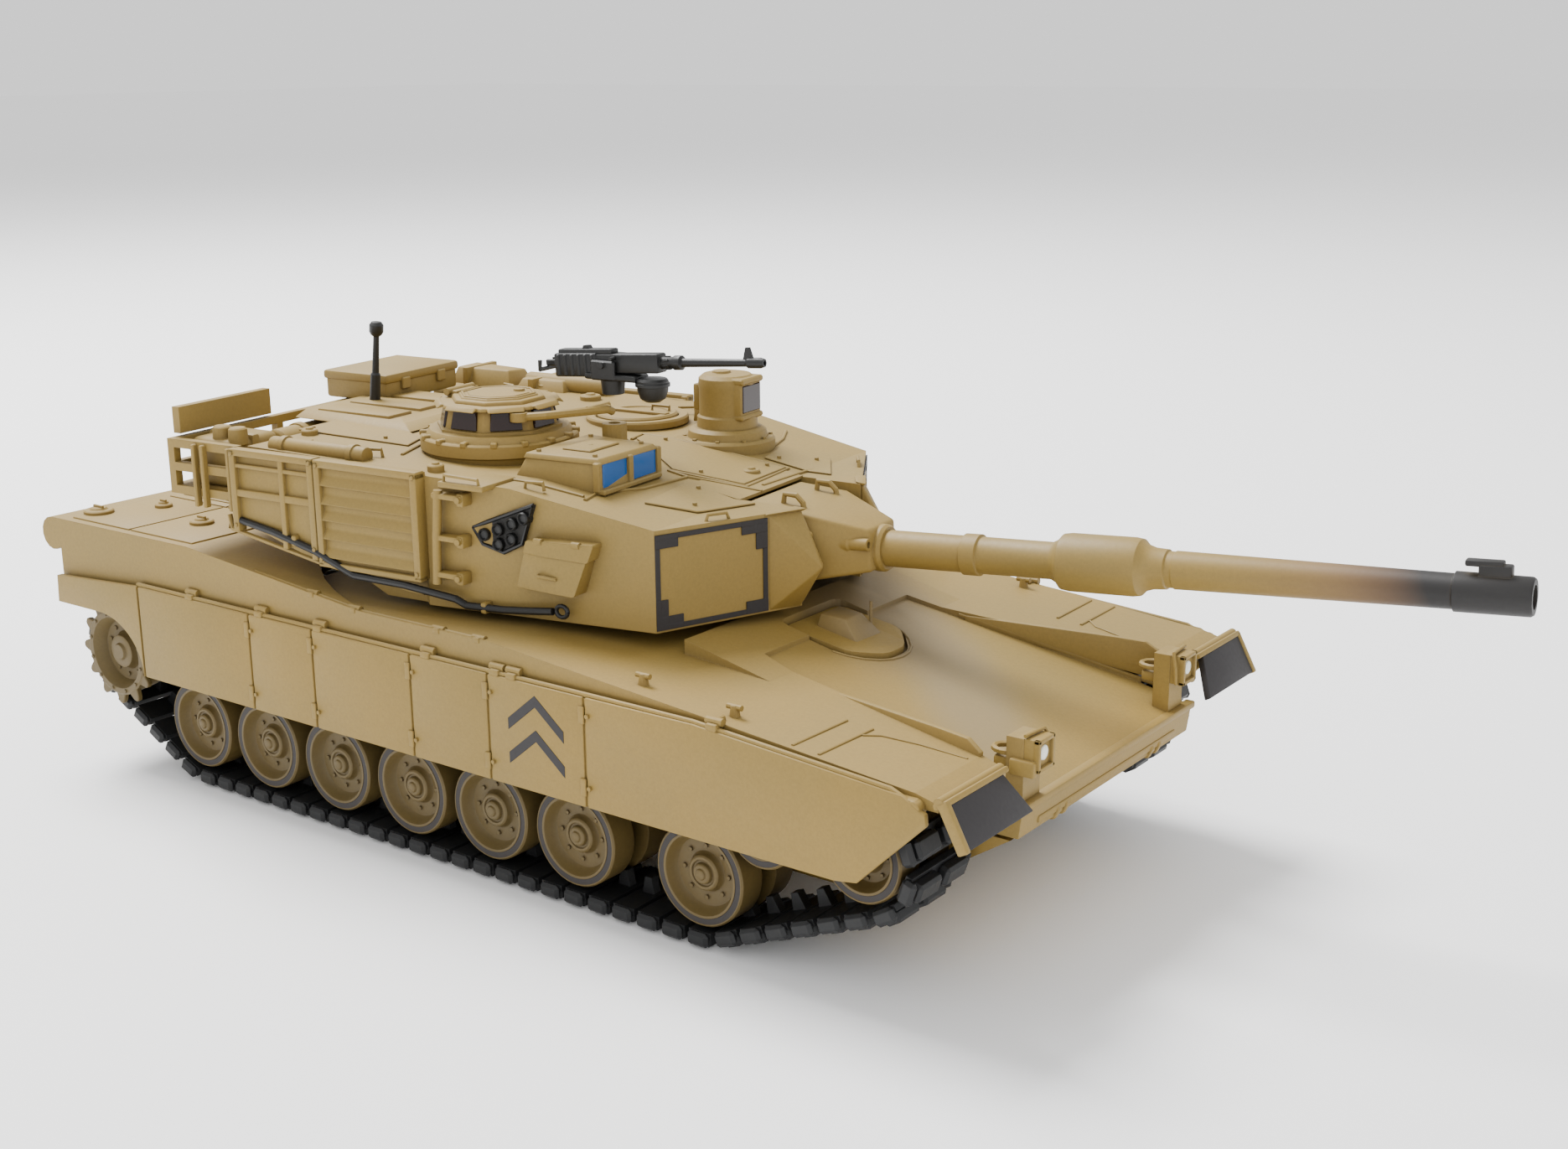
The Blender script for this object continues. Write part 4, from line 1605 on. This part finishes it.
    def build_mast(self) -> None:
        """The leaning sensor mast with its foot, collar and head."""
        x, y = self.mast
        mast = Shape.turned([(0, 0), (0, 1.3), (0.5, 1.3), (0.8, 0.8), (3.4, 0.62), (3.7, 0.8),
                             (4.3, 0.8), (4.5, 0.55), (7.4, 0.5), (7.6, 0.36), (11.3, 0.3),
                             (11.5, 0.55), (11.8, 0.72), (12.5, 0.72), (12.8, 0.5), (12.9, 0)], 20)
        mast.turn(6, Axis.Y)
        mast.move((x - 0.2, y, 31.3))
        low = min(vert.co.z for vert in mast.mesh.verts)
        high = max(vert.co.z for vert in mast.mesh.verts)
        for vert in mast.mesh.verts:
            vert.co.z = 31.3 + (vert.co.z - low) * 12.9 / (high - low)
        self.yard.fit("sensor_mast_tube", mast, GUN_BLACK, Spot.TURRET, replaces=["sensor_mast"])


@dataclass
class MachineGun(Assembly):
    """The machine gun on its post: cradle, receiver, jacketed barrel, sights and ammunition."""

    post: tuple[float, float] = (8.2, -4.6)
    level: float = 43.0
    tilt: float = 4.0

    def build(self) -> None:
        """Make the gun, about its post."""
        gun = Shape.box((-5.9, -0.9, -1.2), (-1.2, 0.9, 0.95)).bevel(0.2, 2)
        gun.add(Shape.box((-1.4, -0.8, -0.9), (5.4, 0.8, 0.85)).bevel(0.2, 2))
        gun.add(Shape.box((-5.6, -0.6, 0.8), (0.4, 0.6, 1.3)).bevel(0.16, 2))
        for index in range(6):
            place = -5.4 + 0.75 * index
            gun.add(Shape.box((place - 0.16, -1.02, -1.1), (place + 0.16, 1.02, 0.85))
                    .bevel(0.08, 1))
        gun.add(Shape.turned([(1.4, 0), (1.4, 0.62), (2.0, 0.62), (2.1, 0.55), (6.6, 0.55),
                              (6.8, 0.66), (7.5, 0.66), (7.6, 0.4), (14.2, 0.34), (14.4, 0.48),
                              (15.6, 0.48), (16.0, 0.36), (16.0, 0.2), (15.2, 0.2), (15.2, 0)],
                             20, Axis.X))
        slot = Shape.box((-0.26, -0.12, 0.44), (0.26, 0.12, 0.62))
        gun.add(slot.copies([Matrix.Rotation(math.radians(60 * turn), 4, "X")
                             @ Matrix.Translation((2.9 + 1.05 * step, 0, 0))
                             for step in range(4) for turn in range(6)]))
        gun.add(Shape.plate([(13.9, 0.3), (14.9, 0.3), (14.6, 1.35), (14.2, 1.35)], -0.13, 0.13),
                Shape.plate([(-3.2, 0.9), (-2.0, 0.9), (-2.4, 1.6), (-2.9, 1.6)], -0.3, 0.3))
        gun.add(Shape.box((-7.4, -0.2, -0.3), (-6.1, 0.2, 0.3)).bevel(0.1, 1),
                Shape.rod([(-7.3, -1.1, 0.35), (-7.4, -1.1, -0.5), (-7.3, 1.1, -0.5),
                           (-7.3, 1.1, 0.35)], 0.22, 6))
        gun.add(Shape.rod([(0.8, -0.9, 0.5), (0.8, -1.5, 0.5)], 0.2, 8))
        gun.turn(-self.tilt, Axis.Y)
        gun.move((0, 0, self.level))
        cradle = Shape.box((-2.4, -1.15, 41.5), (3.2, 1.15, 42.1)).bevel(0.2, 2)
        cradle.add(Shape.box((-1.6, -1.3, 41.5), (1.0, -0.85, 43.3)).bevel(0.14, 1),
                   Shape.box((-1.6, 0.85, 41.5), (1.0, 1.3, 43.3)).bevel(0.14, 1),
                   Shape.disc(1.0, 40.2, 41.7, Axis.Z, 20, 1.15),
                   Shape.disc(0.3, -1.55, 1.55, Axis.Y, 10).move((-0.3, 0, 42.9)))
        drum = Shape.turned([(39.8, 0), (39.8, 0.7), (40.1, 1.15), (40.8, 1.4), (41.7, 1.45),
                             (41.9, 1.3), (41.9, 0)], 24).move((4.3, 0.0, 0))
        drum.add(Shape.turned([(41.2, 1.3), (41.2, 1.58), (41.5, 1.58), (41.5, 1.3)], 24)
                 .move((4.3, 0, 0)))
        case = Shape.box((-2.0, 1.35, 41.2), (1.4, 3.0, 43.4)).bevel(0.16, 2)
        case.add(Shape.box((-2.1, 1.3, 43.1), (1.5, 3.1, 43.5)).bevel(0.1, 1),
                 Shape.box((-0.9, 2.9, 41.9), (0.3, 3.15, 42.9)).bevel(0.08, 1))
        gun.add(cradle, drum, case)
        self.yard.fit("machine_gun_body", gun, GUN_BLACK, Spot.MACHINE_GUN,
                      replaces=["machine_gun"])


@dataclass
class MainGun(Assembly):
    """The mantlet and the barrel with its sleeve, collars, extractor and reference sensor."""

    half: float = 5.1

    def build(self) -> None:
        """Make the mantlet and the barrel."""
        shield = Shape.wrapped([(0.4, -4.9, -3.0), (0.4, 4.9, -3.0), (0.4, -4.9, 4.5),
                                (0.4, 4.9, 4.5), (6.4, -4.9, -2.3), (6.4, 4.9, -2.3),
                                (5.4, -4.9, 3.9), (5.4, 4.9, 3.9), (6.8, -4.6, 2.8),
                                (6.8, 4.6, 2.8), (11.4, -2.4, -1.7),
                                (11.4, 2.4, -1.7), (11.4, -2.4, 2.1), (11.4, 2.4, 2.1)])
        shield.bevel(0.35, 3)
        shield.add(Shape.turned([(11.0, 1.0), (11.0, 2.1), (11.7, 2.1), (12.0, 1.9), (12.0, 1.5)],
                                32, Axis.X))
        shield.add(Shape.turned([(7.0, 0), (7.0, 0.75), (9.6, 0.7), (9.8, 0.55), (11.5, 0.55),
                                 (11.5, 0.3), (10.9, 0.3), (10.9, 0)], 20, Axis.X)
                   .move((0, -2.9, 0.9)))
        for y in (-3.0, 3.0):
            shield.add(Shape.rod([(3.2, y, 4.0), (3.4, y, 5.0), (4.6, y, 4.9), (5.2, y, 4.3),
                                  (5.3, y, 3.6)], 0.26, 8))
        bolt = Shape.disc(0.22, 4.75, 5.02, Axis.Y, 6)
        shield.add(bolt.copies([Matrix.Translation((x, 0, z)) for x, z in (
            (1.6, 2.4), (1.6, -1.8), (5.4, 2.0), (5.4, -1.4))]))
        self.yard.fit("mantlet_shield", shield, SAND, Spot.GUN, replaces=["mantlet"])
        profile = [(10.6, 0), (10.6, 1.62), (19.3, 1.6), (19.4, 1.8), (20.8, 1.8), (20.9, 1.6),
                   (27.4, 1.58), (28.0, 1.9), (28.4, 2.36), (29.0, 2.45), (34.6, 2.45),
                   (35.2, 2.36), (35.6, 1.95), (36.3, 1.72), (37.4, 1.65), (37.5, 1.5),
                   (38.0, 1.5), (38.1, 1.58), (59.8, 1.38), (59.9, 1.56), (65.4, 1.52), (65.6, 1.4),
                   (65.6, 0.95), (62.0, 0.95), (62.0, 0)]
        barrel = Shape.turned(profile, 48, Axis.X)
        sensor = Shape.box((61.6, -0.6, 1.2), (64.0, 0.6, 2.3)).bevel(0.16, 2)
        barrel.add(sensor, Shape.box((60.6, -0.5, 2.1), (63.4, 0.5, 2.6)).bevel(0.14, 2))
        self.yard.fit("gun_barrel_tube", barrel, BARREL_SAND, Spot.GUN, replaces=["gun_barrel"])


class Studio:
    """The floor, lights, backdrop and camera."""

    target: tuple[float, float, float] = (0.0, 0.0, 0.015)
    floor_half_side: float = 3.0
    world_strength: float = 1.15
    camera_place: tuple[float, float, float] = (0.105619, -0.13455, 0.07027)
    camera_angles_deg: tuple[float, float, float] = (36.3, 15.21, -0.45)
    sensor_width_mm: float = 36.0
    lens_mm: float = 44.47
    clip_start: float = 0.005

    def dress_nodes(self) -> None:
        """Give each CAD node that is still seen its finish."""
        slots = {part["node"]: part["material_slot"] for part in frame["record"]["subparts"]}
        for name, node in frame["nodes"].items():
            finish = NODE_FINISHES.get(name) or NODE_FINISHES.get(slots.get(name, ""), SAND)
            node.data.materials.clear()
            node.data.materials.append(finish.material())

    def light(self, name: str, place: Point, size: float, power: float) -> None:
        """Hang a soft square lamp that looks at the model.

        Args:
            name: the lamp's name.
            place: where it hangs, in metres.
            size: its side in metres.
            power: its power in watts.
        """
        data = bpy.data.lights.new(name, "AREA")
        data.shape, data.size, data.energy = "SQUARE", size, power
        lamp = bpy.data.objects.new(name, data)
        bpy.context.scene.collection.objects.link(lamp)
        lamp.location = place
        way = Vector(self.target) - Vector(place)
        lamp.rotation_euler = way.to_track_quat("-Z", "Y").to_euler()

    def build(self) -> None:
        """Lay the floor, hang the lamps and set the camera."""
        floor = bpy.data.meshes.new("floor")
        bm = bmesh.new()
        bmesh.ops.create_grid(bm, x_segments=1, y_segments=1,
                              size=self.floor_half_side)
        bm.to_mesh(floor)
        bm.free()
        sheet = bpy.data.objects.new("floor", floor)
        bpy.context.scene.collection.objects.link(sheet)
        floor.materials.append(Finish("white_paper_sweep", "", "#fbfbfb", roughness=0.9,
                                      grain_depth_mm=0.0, mottle=0.0).material())
        self.light("key", (-0.34, 0.08, 0.55), 0.30, 8.5)
        self.light("fill", (0.30, -0.56, 0.40), 0.50, 1.2)
        world = bpy.data.worlds.new("studio")
        world.use_nodes = True
        back = world.node_tree.nodes["Background"]
        back.inputs["Color"].default_value = (1.0, 1.0, 1.0, 1.0)
        back.inputs["Strength"].default_value = self.world_strength
        bpy.context.scene.world = world
        self.aim()

    def aim(self) -> None:
        """Set the camera at a front three-quarter view of the right side."""
        turn, rise, roll = (math.radians(angle) for angle in self.camera_angles_deg)
        back = Vector((math.sin(turn) * math.cos(rise), -math.cos(turn) * math.cos(rise),
                       math.sin(rise)))
        right = (-back).cross(Vector((0, 0, 1))).normalized()
        up = right.cross(-back)
        across = right * math.cos(roll) + up * math.sin(roll)
        tall = up * math.cos(roll) - right * math.sin(roll)
        data = bpy.data.cameras.new("camera")
        data.sensor_width, data.lens = self.sensor_width_mm, self.lens_mm
        data.clip_start = self.clip_start
        camera = bpy.data.objects.new("camera", data)
        bpy.context.scene.collection.objects.link(camera)
        place = Matrix.Translation(self.camera_place)
        for column, way in enumerate((across, tall, back)):
            for row in range(3):
                place[row][column] = way[row]
        camera.matrix_world = place
        bpy.context.scene.camera = camera


def main() -> None:
    """Build every piece and the studio, and note the model's size."""
    logging.basicConfig(level=logging.INFO, format="%(name)s: %(message)s")
    yard = Yard()
    for assembly in (Skirts, HullDetails, Tracks, RunningGear, TurretBody, RoofStations,
                     MachineGun, MainGun):
        assembly(yard).build()
    studio = Studio()
    studio.dress_nodes()
    studio.build()
    LOG.info("%d pieces made", yard.made)


if __name__ == "__main__":
    main()
